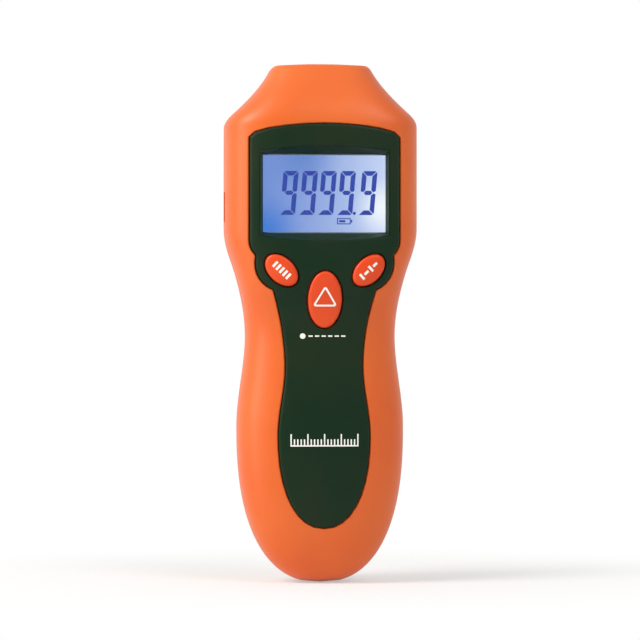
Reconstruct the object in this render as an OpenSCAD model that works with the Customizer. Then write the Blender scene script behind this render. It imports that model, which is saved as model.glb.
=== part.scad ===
// Hand-held photo tachometer, standing upright with its optics at the top and its face towards -Y.
// The origin is the mouth of the tripod socket in the back; +Z runs along the body, +X to the right.

/* [Body] */
// Length from the butt end to the nose
body_len = 160; // [152:1:170]
// Width of the head
head_w = 59; // [58:0.5:64]
// Width at the waist
waist_w = 46; // [45:0.5:49]
// Widest part of the grip
grip_w = 51.2; // [49:0.2:55]
// Width of the nose where its end starts to round
nose_w = 29.6; // [29:0.2:32]
// Depth of the head in front of the parting plane
head_front = 20; // [19.5:0.5:22]
// Depth of the head behind the parting plane
head_back = 22; // [21:0.5:24]
// Depth of the waist in front of the parting plane
waist_front = 16; // [15.5:0.5:18]
// Depth of the waist behind the parting plane
waist_back = 16.5; // [16.5:0.5:18.5]
// Depth of the grip in front of the parting plane
grip_front = 17; // [16.5:0.5:18.5]
// Depth of the grip behind the parting plane
grip_back = 19; // [18.5:0.5:21]
// Depth of the nose end in front of the parting plane
nose_front = 11; // [11:0.5:13]
// Depth of the nose end behind the parting plane
nose_back = 13; // [13:0.5:15]
// Height of the widest part of the grip above the butt, as a share of the length
grip_share = 0.3; // [0.2875:0.000625:0.3125]
// Height of the waist above the butt, as a share of the length
waist_share = 0.475; // [0.46875:0.000625:0.4875]
// Height at which the head reaches its full width, as a share of the length
head_share = 0.653125; // [0.64375:0.000625:0.6625]
// Height at which the head reaches its full depth, as a share of the length
plateau_share = 0.60625; // [0.59375:0.000625:0.6125]
// Height of the shoulders, as a share of the length
shoulder_share = 0.8875; // [0.88125:0.000625:0.89375]
// Height at which the nose's front starts to slope back, as a share of the length
brow_share = 0.90625; // [0.9:0.000625:0.91875]
// Height at which the nose's back starts to slope forward, as a share of the length
nape_share = 0.8375; // [0.825:0.000625:0.85]
// Length of the rounding at the nose's end
tip_len = 4; // [3.5:0.5:5]
// Wall of the two shells
wall_t = 2.2; // [2.2:0.1:2.5]
// Height of the lip on the rear shell that locates the front shell
lip_h = 1.4; // [1:0.1:2]
// Clearance of the lip
lip_gap = 0.1; // [0.05:0.05:0.2]

/* [Face panel] */
// Width of the panel round the display
panel_w = 46; // [45.6:0.2:47]
// Top of the panel above the butt, as a share of the length
panel_top_share = 0.878125; // [0.875:0.000625:0.88125]
// Bottom of the panel above the butt, as a share of the length
panel_low_share = 0.108125; // [0.103125:0.000625:0.11875]
// Radius of the arc along the panel's top edge
panel_arc_r = 97; // [85:1:120]
// Radius of the panel's corners below the display
panel_corner_r = 6; // [5:0.5:7]
// Height of the centre of those corners, as a share of the length
panel_corner_share = 0.65625; // [0.653125:0.000625:0.6625]
// Widest part of the panel's tongue
tongue_w = 28; // [27:0.5:30]
// Height of that widest part, as a share of the length
tongue_share = 0.285; // [0.275:0.000625:0.29375]
// Narrowest part of the panel's tongue
tongue_neck_w = 23.6; // [23:0.2:26]
// Height of that narrowest part, as a share of the length
tongue_neck_share = 0.415625; // [0.40625:0.000625:0.425]
// Width of the tongue where it runs into the lobes
tongue_root_w = 30.4; // [29:0.2:32]
// Height of that place, as a share of the length
tongue_root_share = 0.553125; // [0.55:0.000625:0.559375]
// Thickness of the panel's skin on the shell's ledge
panel_t = 1.2; // [1:0.1:1.4]
// How far the panel stands proud of the shell
panel_proud = 0.3; // [0.1:0.1:0.5]
// Width of the shell's ledge under the panel's edge
ledge_w = 1.6; // [1.2:0.1:1.8]
// Gap between the panel and the shell
panel_gap = 0.25; // [0.15:0.05:0.4]

/* [Display] */
// Width of the display's viewing area
view_w = 36.9; // [36:0.1:37.5]
// Height of the display's viewing area
view_h = 22.8; // [22:0.1:23.4]
// Height of the display's centre above the butt, as a share of the length
view_share = 0.745625; // [0.7425:0.000625:0.74875]
// Width of the recess round the display at the panel's surface
recess_w = 39.6; // [39:0.1:40.4]
// Height of that recess at its sides
recess_h = 25.9; // [25.4:0.1:26.5]
// Rise of the arcs along the recess's top and bottom edges
recess_rise = 1.4; // [0.8:0.1:1.8]
// Depth from the head's front to the display's window
recess_depth = 3.2; // [3:0.1:3.4]
// Thickness of the clear window
window_t = 1; // [0.8:0.1:1.2]
// Thickness of the display's two panes together
glass_t = 2.2; // [1.8:0.1:2.2]
// Thickness of a polariser film
film_t = 0.2; // [0.15:0.05:0.25]
// Thickness of the backlight's light guide
guide_t = 2.8; // [2.4:0.1:3]
// Wall of the frame that holds the display
frame_t = 1; // [0.8:0.1:1]
// Margin of the display's pane round its viewing area
pane_margin = 1.6; // [1.4:0.1:1.6]
// Free gap round the parts of the display
display_gap = 0.2; // [0.1:0.05:0.3]

/* [Keys] */
// Sideways place of the two upper keys
side_key_x = 13.3; // [13:0.1:13.6]
// Height of the two upper keys above the butt, as a share of the length
side_key_share = 0.599375; // [0.596875:0.000625:0.601875]
// Length of an upper key
side_key_len = 11.6; // [11:0.2:12]
// Width of an upper key
side_key_w = 7.5; // [7:0.1:7.9]
// Tilt of an upper key's long axis
side_key_tilt = 43; // [38:1:48]
// Height of the measuring key above the butt, as a share of the length
main_key_share = 0.54375; // [0.540625:0.000625:0.546875]
// Length of the measuring key
main_key_len = 17.2; // [16.4:0.2:18]
// Width of the measuring key
main_key_w = 10.3; // [9.8:0.1:10.6]
// How far the keys stand proud of the shell's surface
key_proud = 1; // [0.8:0.1:1.4]
// Gap round a key
key_gap = 0.45; // [0.35:0.05:0.6]
// Travel of a key
key_travel = 0.9; // [0.6:0.1:0.9]
// Width of the flange that holds a key under the panel
key_flange = 1; // [0.8:0.1:1.1]
// Thickness of the rubber mat under the keys
mat_t = 1; // [0.8:0.1:1.2]
// Thickness of the bell that springs a key
bell_t = 0.5; // [0.4:0.1:0.6]
// Radius of the carbon pill under a key
pill_r = 1.8; // [1.5:0.1:2]
// Thickness of the carbon pill
pill_t = 0.5; // [0.4:0.1:0.6]

/* [Circuit board] */
// Distance from the board's front to the parting plane
board_y = 8.9; // [8.8:0.1:9.1]
// Thickness of the board
board_t = 1.6; // [1.4:0.1:1.6]
// Width of the board's upper end
board_top_w = 31; // [30:0.5:33]
// Width of the board's lower end
board_low_w = 25.6; // [24:0.2:26]
// Top of the board above the butt, as a share of the length
board_top_share = 0.91875; // [0.9125:0.000625:0.921875]
// Bottom of the board above the butt, as a share of the length
board_low_share = 0.45625; // [0.45625:0.000625:0.4575]
// Side of the controller chip
chip_w = 12; // [10:0.5:14]
// Thickness of the controller chip
chip_t = 1.5; // [1.2:0.1:1.8]
// Radius of the smoothing capacitor
cap_r = 2.5; // [2:0.25:3]
// Length of the smoothing capacitor
cap_len = 7; // [6:0.5:8]

/* [Optics] */
// Width of the optics block
optics_w = 24; // [23.6:0.2:24.4]
// Depth of the optics block
optics_d = 13.4; // [13:0.2:14]
// Length of the optics block
optics_len = 24; // [23:0.5:25]
// How far the optical axes lie behind the parting plane
optics_y = 1; // [0.8:0.1:1.2]
// Distance of the laser's axis from the middle
laser_x = 5.8; // [5.6:0.1:6]
// Distance of the receiver's axis from the middle
receiver_x = 6; // [5.8:0.1:6.1]
// Radius of the laser's barrel
laser_r = 4.5; // [4.2:0.1:4.6]
// Length of the laser's barrel
laser_len = 20; // [18:0.5:21]
// Radius of the beam's passage
beam_r = 1.6; // [1.2:0.1:2]
// Radius of the receiver's lens
lens_r = 5.1; // [4.8:0.1:5.2]
// Thickness of the receiver's lens at its rim
lens_t = 2; // [1.6:0.1:2.4]
// Clearance of the optical parts in the block's bores
optics_gap = 0.1; // [0.05:0.05:0.15]
// Width of the nose window
nose_window_w = 20; // [18:0.5:20.4]
// Depth of the nose window
nose_window_d = 11; // [10:0.5:11.4]
// Thickness of the nose window's flange
nose_flange_t = 1.3; // [1.1:0.1:1.4]

/* [Battery] */
// Width of the nine-volt block battery
battery_w = 26.5; // [26:0.1:26.5]
// Depth of the battery
battery_d = 17.5; // [17:0.1:17.5]
// Height of the battery's case
battery_h = 46.4; // [45:0.2:46.4]
// Height of the battery's terminals
terminal_h = 2.1; // [1.8:0.1:2.2]
// Distance from the battery's foot to the butt
battery_z = 20; // [20:0.1:20.4]
// Distance from the battery's front to the parting plane
battery_y = 5.1; // [5.1:0.1:5.3]
// Free gap round the battery
battery_gap = 0.4; // [0.3:0.1:0.5]
// Wall of the battery bay
bay_t = 1.4; // [1.2:0.1:1.4]
// Width of the battery door
door_w = 34; // [33.6:0.2:34.4]
// Top of the door above the butt
door_top_z = 75; // [74.8:0.1:75.5]
// Thickness of the door's skin on its ledge
door_t = 1.2; // [1:0.1:1.3]
// Gap round the door
door_gap = 0.25; // [0.2:0.05:0.4]
// Width of the ledge under the door's edge
door_ledge = 2.4; // [2.2:0.1:2.6]
// Corner radius of the door
door_corner_r = 4; // [3:0.5:5]
// Height of the door's screw above the butt
door_screw_z = 14.5; // [14.3:0.1:14.7]

/* [Fasteners] */
// Radius of a case screw's shank
screw_r = 1.3; // [1.2:0.05:1.4]
// Radius of a case screw's head
screw_head_r = 2.7; // [2.4:0.1:2.8]
// Thickness of a case screw's head
screw_head_t = 1.8; // [1.5:0.1:2]
// Length of a case screw under its head
screw_len = 17; // [15:0.5:18]
// Radius of a screw boss
boss_r = 3.2; // [3.1:0.1:3.4]
// Sideways place of the upper case screws
upper_screw_x = 22.4; // [22:0.1:22.6]
// Height of the upper case screws above the butt, as a share of the length
upper_screw_share = 0.86875; // [0.86625:0.000625:0.87125]
// Sideways place of the lower case screws
lower_screw_x = 17.4; // [17.2:0.1:17.6]
// Height of the lower case screws above the butt, as a share of the length
lower_screw_share = 0.503125; // [0.5:0.000625:0.50625]
// Radius of a small screw's shank
small_screw_r = 1; // [0.9:0.05:1.1]
// Radius of a small screw's head
small_head_r = 1.9; // [1.7:0.1:2]

/* [Tripod socket] */
// Height of the tripod socket above the butt, as a share of the length
socket_share = 0.65625; // [0.65:0.000625:0.675]
// Radius of the socket's thread crests
socket_r = 2.55; // [2.5:0.01:2.6]
// Depth of the socket's threaded bore
socket_len = 7; // [6:0.5:8]
// Radius of the brass insert
insert_r = 4.2; // [4:0.1:4.6]
// Radius of the insert's seat flange
insert_flange_r = 6; // [5.5:0.1:6.5]
// How far the insert's flange stands proud of the back
insert_proud = 0.4; // [0.3:0.1:0.6]

/* [Side recess] */
// Length of the shallow recess in the left side of the head
side_recess_len = 9.3; // [8:0.1:11]
// Width of the recess
side_recess_w = 8; // [6:0.5:9]
// Depth of the recess
side_recess_depth = 0.7; // [0.4:0.1:0.9]
// Height of the recess above the butt, as a share of the length
side_recess_share = 0.7225; // [0.7125:0.000625:0.73125]

/* [Hidden] */

// Colours of the real surfaces
orange = "#f0682a";
dark_green = "#1d3020";
key_orange = "#ec5a28";
brass = "#c9a54a";
steel = "#b9bcc0";
board_green = "#1f6b3a";
black = "#1b1b1c";

// One overrun for all cuts
cut = 1;
// Sides of a round outline, and of a lead and its steps
round_n = 32;
lead_n = 8;
curve_n = 12;
// Powers of the rounded ends, the flares and the sections
butt_power_share = 2.4;
butt_depth_power_share = 3;
tip_power_share = 4.5;
flare_power_share = 1.85;
nose_power_share = 1.45;
tongue_power_share = 2.2;
tongue_root_power_share = 1.9;
front_power_share = 3.8;
grip_power_share = 2.9;
back_power_share = 3.2;
// Reach of the soft corners at the head's lower end, the shoulders, the brow and the panel's top
head_soft = 2;
shoulder_soft = 2.6;
brow_soft = 3;
panel_soft = 6;
// Sections along the butt, grip, head, nose and tip, and steps in a quarter of a section
butt_n = 9;
grip_n = 12;
head_n = 6;
nose_n = 6;
tip_n = 4;
quarter_n = 12;
// Least distance between two sections
section_gap = 0.4;
tip_z = body_len - tip_len;

// Heights above the butt
grip_z = grip_share * body_len;
waist_z = waist_share * body_len;
head_z = head_share * body_len;
plateau_z = plateau_share * body_len;
shoulder_z = shoulder_share * body_len;
brow_z = brow_share * body_len;
nape_z = nape_share * body_len;
panel_top_z = panel_top_share * body_len;
panel_low_z = panel_low_share * body_len;
panel_corner_z = panel_corner_share * body_len;
tongue_z = tongue_share * body_len;
tongue_neck_z = tongue_neck_share * body_len;
tongue_root_z = tongue_root_share * body_len;
view_z = view_share * body_len;
side_key_z = side_key_share * body_len;
main_key_z = main_key_share * body_len;
board_top_z = board_top_share * body_len;
board_low_z = board_low_share * body_len;
upper_screw_z = upper_screw_share * body_len;
lower_screw_z = lower_screw_share * body_len;
socket_z = socket_share * body_len;
side_recess_z = side_recess_share * body_len;

// Levels in front of the parting plane, from the panel back to the board
face_y = head_front - recess_depth;
window_back_y = face_y - window_t;
pane_y = window_back_y - display_gap - film_t;
guide_y = pane_y - glass_t - film_t - display_gap;
board_back_y = board_y - board_t;
key_base_y = board_y + mat_t + 3 * key_travel;
pill_y = board_y + key_travel + display_gap / 2;
// Level of the tripod seat behind the parting plane
seat_y = head_back + insert_proud;
// Metal under the tripod socket's bore, its flange, and the plastic that carries them
insert_floor_t = 0.8;
insert_flange_t = 0.8;
insert_back_t = 2;

// Lobes of the panel round the upper keys
lobe_r = 8.6;
lobe_in = 0.7;
lobe_up = 2.1;
lobe_x = side_key_x - lobe_in;
lobe_z = side_key_z + lobe_up;

// Display: size of the panes, the ledge that carries their contacts, and the frame round them
contact_ledge = 2;
pane_w = view_w + 2 * pane_margin;
pane_h = view_h + 2 * pane_margin + contact_ledge;
pane_z = view_z - contact_ledge / 2;
frame_w = pane_w + 2 * (display_gap + frame_t);
frame_h = pane_h + 2 * (display_gap + frame_t);
pane_low_z = pane_z - pane_h / 2;
strip_t = 1.6;
guide_w = pane_w - 2 * frame_t;
guide_low_z = pane_low_z + strip_t + 5 * display_gap;
guide_h = pane_z + pane_h / 2 - frame_t - guide_low_z;
polariser_margin = 0.3;
guide_pocket_gap = 0.1;
led_t = 1;
led_len = 12;

// Keypad: how far the bells and the mat reach beyond the keys
bell_reach = 1.2;
mat_reach = 1.7;
ellipse_n = 40;

// Posts that carry the board, and the small screws in them
post_r = 2.3;
upper_post_x = 12;
upper_post_share = 0.896875;
upper_post_z = upper_post_share * body_len;
lower_post_x = 6.6;
lower_post_share = 0.4725;
lower_post_z = lower_post_share * body_len;
board_screw_places = [[-upper_post_x, upper_post_z], [upper_post_x, upper_post_z],
    [-lower_post_x, lower_post_z], [lower_post_x, lower_post_z]];
board_screw_len = 5.5;
lower_pilot_len = 4;
pilot_end = 0.8;
small_head_t = 1.2;
board_margin = 0.05;
board_w = frame_w + 2 * board_margin;
board_step_share = 0.840625;
board_step_z = board_step_share * body_len;
board_waist_share = 0.525;
board_waist_z = board_waist_share * body_len;
board_hip_share = 0.6125;
board_hip_z = board_hip_share * body_len;

// Case screws: level of their seats behind the parting plane, and clearance round them
screw_seat_y = 9;
screw_gap = 0.3;
head_wall = 0.9;
pilot_gap = 0.05;
slot_share = 1.2;
screw_places = [[-upper_screw_x, upper_screw_z], [upper_screw_x, upper_screw_z],
    [-lower_screw_x, lower_screw_z], [lower_screw_x, lower_screw_z]];

// Optics: the block's lower end, its flanges and the sensor board under it
window_z = body_len - wall_t - optics_gap / 2 - nose_flange_t;
optics_z = window_z - display_gap * 2 - optics_len;
optics_wing = 5;
optics_wing_t = 3;
optics_wing_h = 6;
optics_screw_x = 14.6;
optics_screw_rise = 4.95;
optics_screw_z = optics_z + optics_screw_rise;
optics_screw_len = 8;
sensor_board_t = 1.6;
laser_rise = 1;
laser_z = optics_z + laser_rise;
diode_r = 2.4;
diode_len = 4;
barrel_bore_r = 3.1;
barrel_end_t = 2.5;
laser_lens_t = 1.5;
receiver_lens_drop = 1;
lens_crown = 1.2;
photodiode_r = 2.5;
photodiode_len = 4.6;
nose_flange_w = 1;
nose_window_rise = 0.7;
nose_window_r = 3;

// Battery bay and door
battery_mid_y = battery_d / 2 - battery_y;
battery_r = 2;
terminal_x = 6.35;
plus_r = 2.8;
minus_r = 3.9;
snap_h = 4.2;
snap_w = 25.4;
snap_d = 11;
bay_in_w = battery_w + 2 * battery_gap;
bay_low_z = battery_z;
bay_top_z = battery_z + battery_h + terminal_h + snap_h / 2 + 2 * battery_gap;
bay_floor_y = battery_y;
door_lobe_r = 6.6;
door_side_z = 23;
door_seat_y = 14.2;
door_boss_r = 3.5;
door_boss_y = 12.6;
insert_boss_y = 4;
door_screw_len = 7;
door_screw_r = 1.15;
door_insert_r = 2.3;
door_insert_len = 6;
door_insert_floor_y = 5;
insert_gap = 0.1;
rib_t = 2;
foam_w = 16;
foam_len = 25;
foam_z = 43;
foam_y = battery_d - battery_y;
foam_back_y = 16;
lead_r = 0.6;

// Parts on the board's back, and the curves of the ribbon and the leads
chip_share = 0.7;
chip_z = chip_share * body_len;
crystal_t = 3.6;
crystal_len = 10;
chip_part_t = 0.8;
chip_part_len = 1.6;
flex_w = 7;
flex_drop = 8;
laser_lead_drop = 10;
battery_lead_rise = 11;
optics_seat_y = optics_y + optics_d / 2 - optics_wing_t;
flex_top_z = optics_z - sensor_board_t;
flex_curve = [[optics_y, flex_top_z], [optics_y, flex_top_z - flex_drop],
    [-board_back_y / 2, flex_top_z - flex_drop], [-board_back_y, flex_top_z - flex_drop]];
board_corners = [[board_low_w / 2, board_low_z], [board_low_w / 2, board_waist_z],
    [board_w / 2, board_hip_z], [board_w / 2, board_step_z], [board_top_w / 2, board_step_z],
    [board_top_w / 2, board_top_z]];

// Smoothed step, and a value that moves smoothly from a to b as t goes from 0 to 1
function ease(t) = let (u = min(1, max(0, t))) u * u * (3 - 2 * u);
function blend(a, b, t) = a + (b - a) * ease(t);
// The lesser of two values, with their corner rounded over the reach k
function soft_min(a, b, k) = let (h = max(0, k - abs(a - b)) / k) min(a, b) - h * h * k / 4;
// Falls from 1 to 0 along a rounded end as t goes from 0 to 1
function end_share(t, power) = pow(max(0, 1 - pow(min(1, max(0, t)), power)), 1 / power);
function grip_run(z) = (z - grip_z) / (waist_z - grip_z);
function tip_share(z) = end_share((z - tip_z) / tip_len, tip_power_share);

// Half the body's width at the height z
function half_width(z) = z < waist_z
    ? end_share((grip_z - z) / grip_z, butt_power_share) * blend(grip_w, waist_w, grip_run(z)) / 2
    : tip_share(z) * soft_min(
        soft_min(
            waist_w / 2 + (head_w - waist_w) / 2 * pow((z - waist_z) / (head_z - waist_z), flare_power_share),
            head_w / 2,
            head_soft),
        nose_w / 2 + (head_w - nose_w) / 2
            * pow(max(0, body_len - z) / (body_len - shoulder_z), nose_power_share),
        shoulder_soft);

// Depth on one side of the parting plane at the height z
function depth(z, grip_d, waist_d, head_d, nose_d, slope_z) = z < waist_z
    ? end_share((grip_z - z) / grip_z, butt_depth_power_share) * blend(grip_d, waist_d, grip_run(z))
    : tip_share(z) * soft_min(
        blend(waist_d, head_d, (z - waist_z) / (plateau_z - waist_z)),
        nose_d + (head_d - nose_d) * (body_len - z) / (body_len - slope_z),
        brow_soft);
function front_depth(z) = depth(z, grip_front, waist_front, head_front, nose_front, brow_z);
function back_depth(z) = depth(z, grip_back, waist_back, head_back, nose_back, nape_z);
function front_power(z) = blend(grip_power_share, front_power_share, (z - waist_z) / (head_z - waist_z));

// One section of the body, inset from the outer surface
function section(z, inset) = [
    for (i = [0 : 4 * quarter_n - 1])
        let (
            c = cos(90 * i / quarter_n),
            s = sin(90 * i / quarter_n),
            power = s < 0 ? front_power(z) : back_power_share,
            wide = half_width(z) - inset,
            deep = (s < 0 ? front_depth(z) : back_depth(z)) - inset)
        [wide * sign(c) * pow(abs(c), 2 / power), deep * sign(s) * pow(abs(s), 2 / power), z]];

// Heights of the sections, closer where the outline turns fastest
body_heights = concat(
    [for (i = [1 : butt_n]) grip_z * (1 - cos(90 * i / butt_n))],
    [for (i = [1 : grip_n]) grip_z + (head_z - grip_z) * sin(90 * i / grip_n)],
    [for (i = [1 : head_n]) head_z + (shoulder_z - head_z) * sin(90 * i / head_n)],
    [for (i = [1 : nose_n]) shoulder_z + (tip_z - shoulder_z) * i / nose_n],
    [for (i = [1 : tip_n - 1]) tip_z + tip_len * sin(90 * i / tip_n)]);
function heights(inset) = concat(
    [inset],
    [for (z = body_heights) if (z > inset + section_gap && z < body_len - inset - section_gap) z],
    [body_len - inset]);

// Moves a piece from heights above the butt to the part's own frame
module in_frame() {
    translate([0, -seat_y, -socket_z]) children();
}

// The whole body as one solid, inset from the outer surface
module body_solid(inset = 0) {
    zs = heights(inset);
    n = 4 * quarter_n;
    for (i = [0 : len(zs) - 2])
        hull() polyhedron(
            points = concat(section(zs[i], inset), section(zs[i + 1], inset)),
            faces = [[for (k = [0 : n - 1]) k], [for (k = [0 : n - 1]) n + k]]);
}

// The layer of the body between two insets
module body_layer(outer, inner) {
    difference() {
        body_solid(outer);
        body_solid(inner);
    }
}

// Everything in front of the level y, and everything behind it
module front_of(y = 0) {
    translate([-body_len, y - body_len, -body_len]) cube([2 * body_len, body_len, 3 * body_len]);
}
module behind(y = 0) {
    translate([-body_len, y, -body_len]) cube([2 * body_len, body_len, 3 * body_len]);
}

// A flat shape given in x and height, from the level y in front of the parting plane back by t
module plate(y, t) {
    translate([0, t - y, 0]) rotate([90, 0, 0]) linear_extrude(t) children();
}
// A round pin along Y from the level y in front of the parting plane back by its length
module pin(x, z, y, length, r) {
    translate([x, -y, z]) rotate([-90, 0, 0]) cylinder(r = r, h = length, $fn = round_n);
}
module rounded_rectangle(w, h, r) {
    square([w - 2 * r, h], center = true);
    square([w, h - 2 * r], center = true);
    for (x = [-1, 1], y = [-1, 1])
        translate([x * (w / 2 - r), y * (h / 2 - r)]) circle(r = r, $fn = round_n);
}
module ellipse(length, width) {
    polygon([for (i = [0 : ellipse_n - 1])
        [length / 2 * cos(360 * i / ellipse_n), width / 2 * sin(360 * i / ellipse_n)]]);
}

// Half the face panel's width at the height z: the wide part, the lobes and the tongue
function panel_side(z) = z > panel_corner_z
    ? panel_w / 2
    : panel_w / 2 - panel_corner_r + sqrt(max(0, pow(panel_corner_r, 2) - pow(panel_corner_z - z, 2)));
function panel_arc(z) = sqrt(max(0, pow(panel_arc_r, 2) - pow(z - panel_top_z + panel_arc_r, 2)));
function panel_wide(z) = z < panel_corner_z - panel_corner_r
    ? 0
    : max(0, soft_min(panel_side(z), panel_arc(z), panel_soft));
function panel_lobe(z) = abs(z - lobe_z) < lobe_r ? lobe_x + sqrt(pow(lobe_r, 2) - pow(z - lobe_z, 2)) : 0;
function panel_tongue(z) = z < tongue_z
    ? tongue_w / 2 * end_share((tongue_z - z) / (tongue_z - panel_low_z), tongue_power_share)
    : z < tongue_neck_z
        ? blend(tongue_w, tongue_neck_w, (z - tongue_z) / (tongue_neck_z - tongue_z)) / 2
        : tongue_neck_w / 2 + (tongue_root_w - tongue_neck_w) / 2
            * pow((z - tongue_neck_z) / (tongue_root_z - tongue_neck_z), tongue_root_power_share);
function panel_half(z) = max(panel_wide(z), panel_lobe(z), z < lobe_z ? panel_tongue(z) : 0);
lobe_low_z = lobe_z - lobe_r;
panel_heights = concat(
    [for (i = [1 : 8]) tongue_z - (tongue_z - panel_low_z) * cos(90 * i / 9)],
    [for (i = [0 : 11]) tongue_z + (lobe_low_z - tongue_z) * i / 12],
    [for (i = [0 : 7]) lobe_low_z + lobe_r * (1 - cos(90 * i / 8))],
    [for (i = [0 : 7]) lobe_z + (panel_corner_z - lobe_z) * i / 8],
    [for (i = [0 : 15]) panel_corner_z + (panel_top_z - panel_corner_z) * sin(90 * i / 16)]);
module panel_outline() {
    polygon(concat(
        [[0, panel_low_z]],
        [for (z = panel_heights) [panel_half(z), z]],
        [[0, panel_top_z]],
        [for (i = [len(panel_heights) - 1 : -1 : 0]) [-panel_half(panel_heights[i]), panel_heights[i]]]));
}

// Outline of the recess round the display at the panel's surface, with its two shallow arcs
module recess_outline() {
    side = [for (i = [0 : 10]) 1 - i / 5];
    translate([0, view_z]) polygon(concat(
        [for (u = side) [recess_w / 2 * u, recess_h / 2 + recess_rise * (1 - u * u)]],
        [for (u = side) [-recess_w / 2 * u, -recess_h / 2 - recess_rise * (1 - u * u)]]));
}

// Outline of a key, grown by a margin: side is -1 and 1 for the upper keys, 0 for the measuring key
module key_outline(side, grow = 0) {
    translate([side * side_key_x, side == 0 ? main_key_z : side_key_z])
        rotate(side == 0 ? 90 : side * side_key_tilt)
            ellipse(
                (side == 0 ? main_key_len : side_key_len) + 2 * grow,
                (side == 0 ? main_key_w : side_key_w) + 2 * grow);
}

// Outline of the battery door, with the lobe that holds its screw
module door_outline() {
    hull() {
        for (x = [-1, 1], z = [door_side_z, door_top_z - door_corner_r])
            translate([x * (door_w / 2 - door_corner_r), z]) circle(r = door_corner_r, $fn = round_n);
        translate([0, door_screw_z]) circle(r = door_lobe_r, $fn = round_n);
    }
}

// The opening for the nose window through both shells
module nose_opening() {
    translate([0, optics_y, tip_z]) linear_extrude(tip_len + cut)
        rounded_rectangle(nose_window_w + 2 * optics_gap, nose_window_d + 2 * optics_gap, nose_window_r);
}
module side_recess() {
    translate([side_recess_depth - head_w / 2, optics_y, side_recess_z]) rotate([90, 0, -90])
        linear_extrude(tip_len) rounded_rectangle(side_recess_w, side_recess_len, side_recess_w / 8);
}

module front_shell() {
    color(orange) in_frame() difference() {
        union() {
            intersection() {
                front_of();
                body_layer(0, wall_t);
            }
            intersection() {
                body_solid(wall_t / 2);
                union() {
                    for (p = screw_places) pin(p[0], p[1], head_front, head_front, boss_r);
                    for (x = [-upper_post_x, upper_post_x])
                        pin(x, upper_post_z, head_front, head_front - board_y, post_r);
                }
            }
        }
        // seat and opening for the face panel
        difference() {
            plate(head_front + cut, head_front) offset(delta = panel_gap) panel_outline();
            body_solid(panel_t);
        }
        plate(head_front + cut, head_front - board_y) offset(delta = -ledge_w) panel_outline();
        // rebate for the rear shell's lip
        intersection() {
            front_of();
            behind(-lip_h - lip_gap);
            body_layer(wall_t / 2 - lip_gap / 2, wall_t + lip_gap);
        }
        for (p = screw_places)
            pin(p[0], p[1], screw_len - screw_seat_y + pilot_end, screw_len, screw_r + pilot_gap);
        for (x = [-upper_post_x, upper_post_x])
            pin(x, upper_post_z, board_y + board_screw_len, board_screw_len + cut, small_screw_r + pilot_gap);
        nose_opening();
        side_recess();
    }
}

module rear_shell() {
    color(orange) in_frame() difference() {
        union() {
            intersection() {
                behind();
                body_layer(0, wall_t);
            }
            // lip that locates the front shell
            intersection() {
                behind(-lip_h);
                front_of(cut);
                body_layer(wall_t / 2 + lip_gap / 2, wall_t);
            }
            intersection() {
                behind();
                body_solid(wall_t / 2);
                union() {
                    for (p = screw_places)
                        pin(p[0], p[1], 0, head_back, screw_head_r + screw_gap + head_wall);
                    pin(0, socket_z, insert_back_t - seat_y + socket_len, head_back, insert_flange_r);
                    for (x = [-optics_screw_x, optics_screw_x])
                        pin(x, optics_screw_z, -optics_y - optics_d / 2, head_back, post_r);
                }
            }
            battery_bay();
            door_screw_boss();
        }
        // seat and opening for the battery door
        difference() {
            plate(-insert_boss_y, head_back) offset(delta = door_gap) door_outline();
            body_solid(door_t);
        }
        plate(-door_boss_y, head_back) offset(delta = -door_ledge) door_outline();
        translate([-bay_in_w / 2, -bay_floor_y, bay_low_z])
            cube([bay_in_w, bay_floor_y + grip_back - wall_t, bay_top_z - bay_low_z]);
        for (p = screw_places) {
            pin(p[0], p[1], cut, head_back, screw_r + screw_gap);
            pin(p[0], p[1], -screw_seat_y, head_back, screw_head_r + screw_gap);
        }
        pin(0, socket_z, insert_floor_t - seat_y + socket_len, head_back, insert_r + insert_gap);
        pin(0, socket_z, insert_flange_t - seat_y, head_back, insert_flange_r + insert_gap);
        for (x = [-optics_screw_x, optics_screw_x])
            pin(x, optics_screw_z, -optics_seat_y, optics_screw_len + pilot_end, small_screw_r + pilot_gap);
        nose_opening();
        side_recess();
    }
}

// Walls round the battery, with a notch for its leads
module battery_bay() {
    intersection() {
        body_solid(wall_t / 2);
        difference() {
            translate([-bay_in_w / 2 - bay_t, -bay_floor_y - bay_t, bay_low_z - bay_t])
                cube([bay_in_w + 2 * bay_t, bay_floor_y + grip_back, bay_top_z - bay_low_z + 2 * bay_t]);
            translate([-terminal_x, -battery_y, bay_top_z - cut])
                cube([2 * terminal_x, battery_y, bay_t + 2 * cut]);
        }
    }
}

module door_screw_boss() {
    intersection() {
        body_solid(wall_t / 2);
        difference() {
            union() {
                pin(0, door_screw_z, -insert_boss_y, door_boss_y - insert_boss_y - insert_gap,
                    door_insert_r + head_wall);
                translate([-rib_t / 2, insert_boss_y, 0])
                    cube([rib_t, door_boss_y - insert_boss_y - 4 * insert_gap, bay_low_z]);
            }
            pin(0, door_screw_z, -door_insert_floor_y, head_back, door_insert_r + insert_gap);
        }
    }
}

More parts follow.
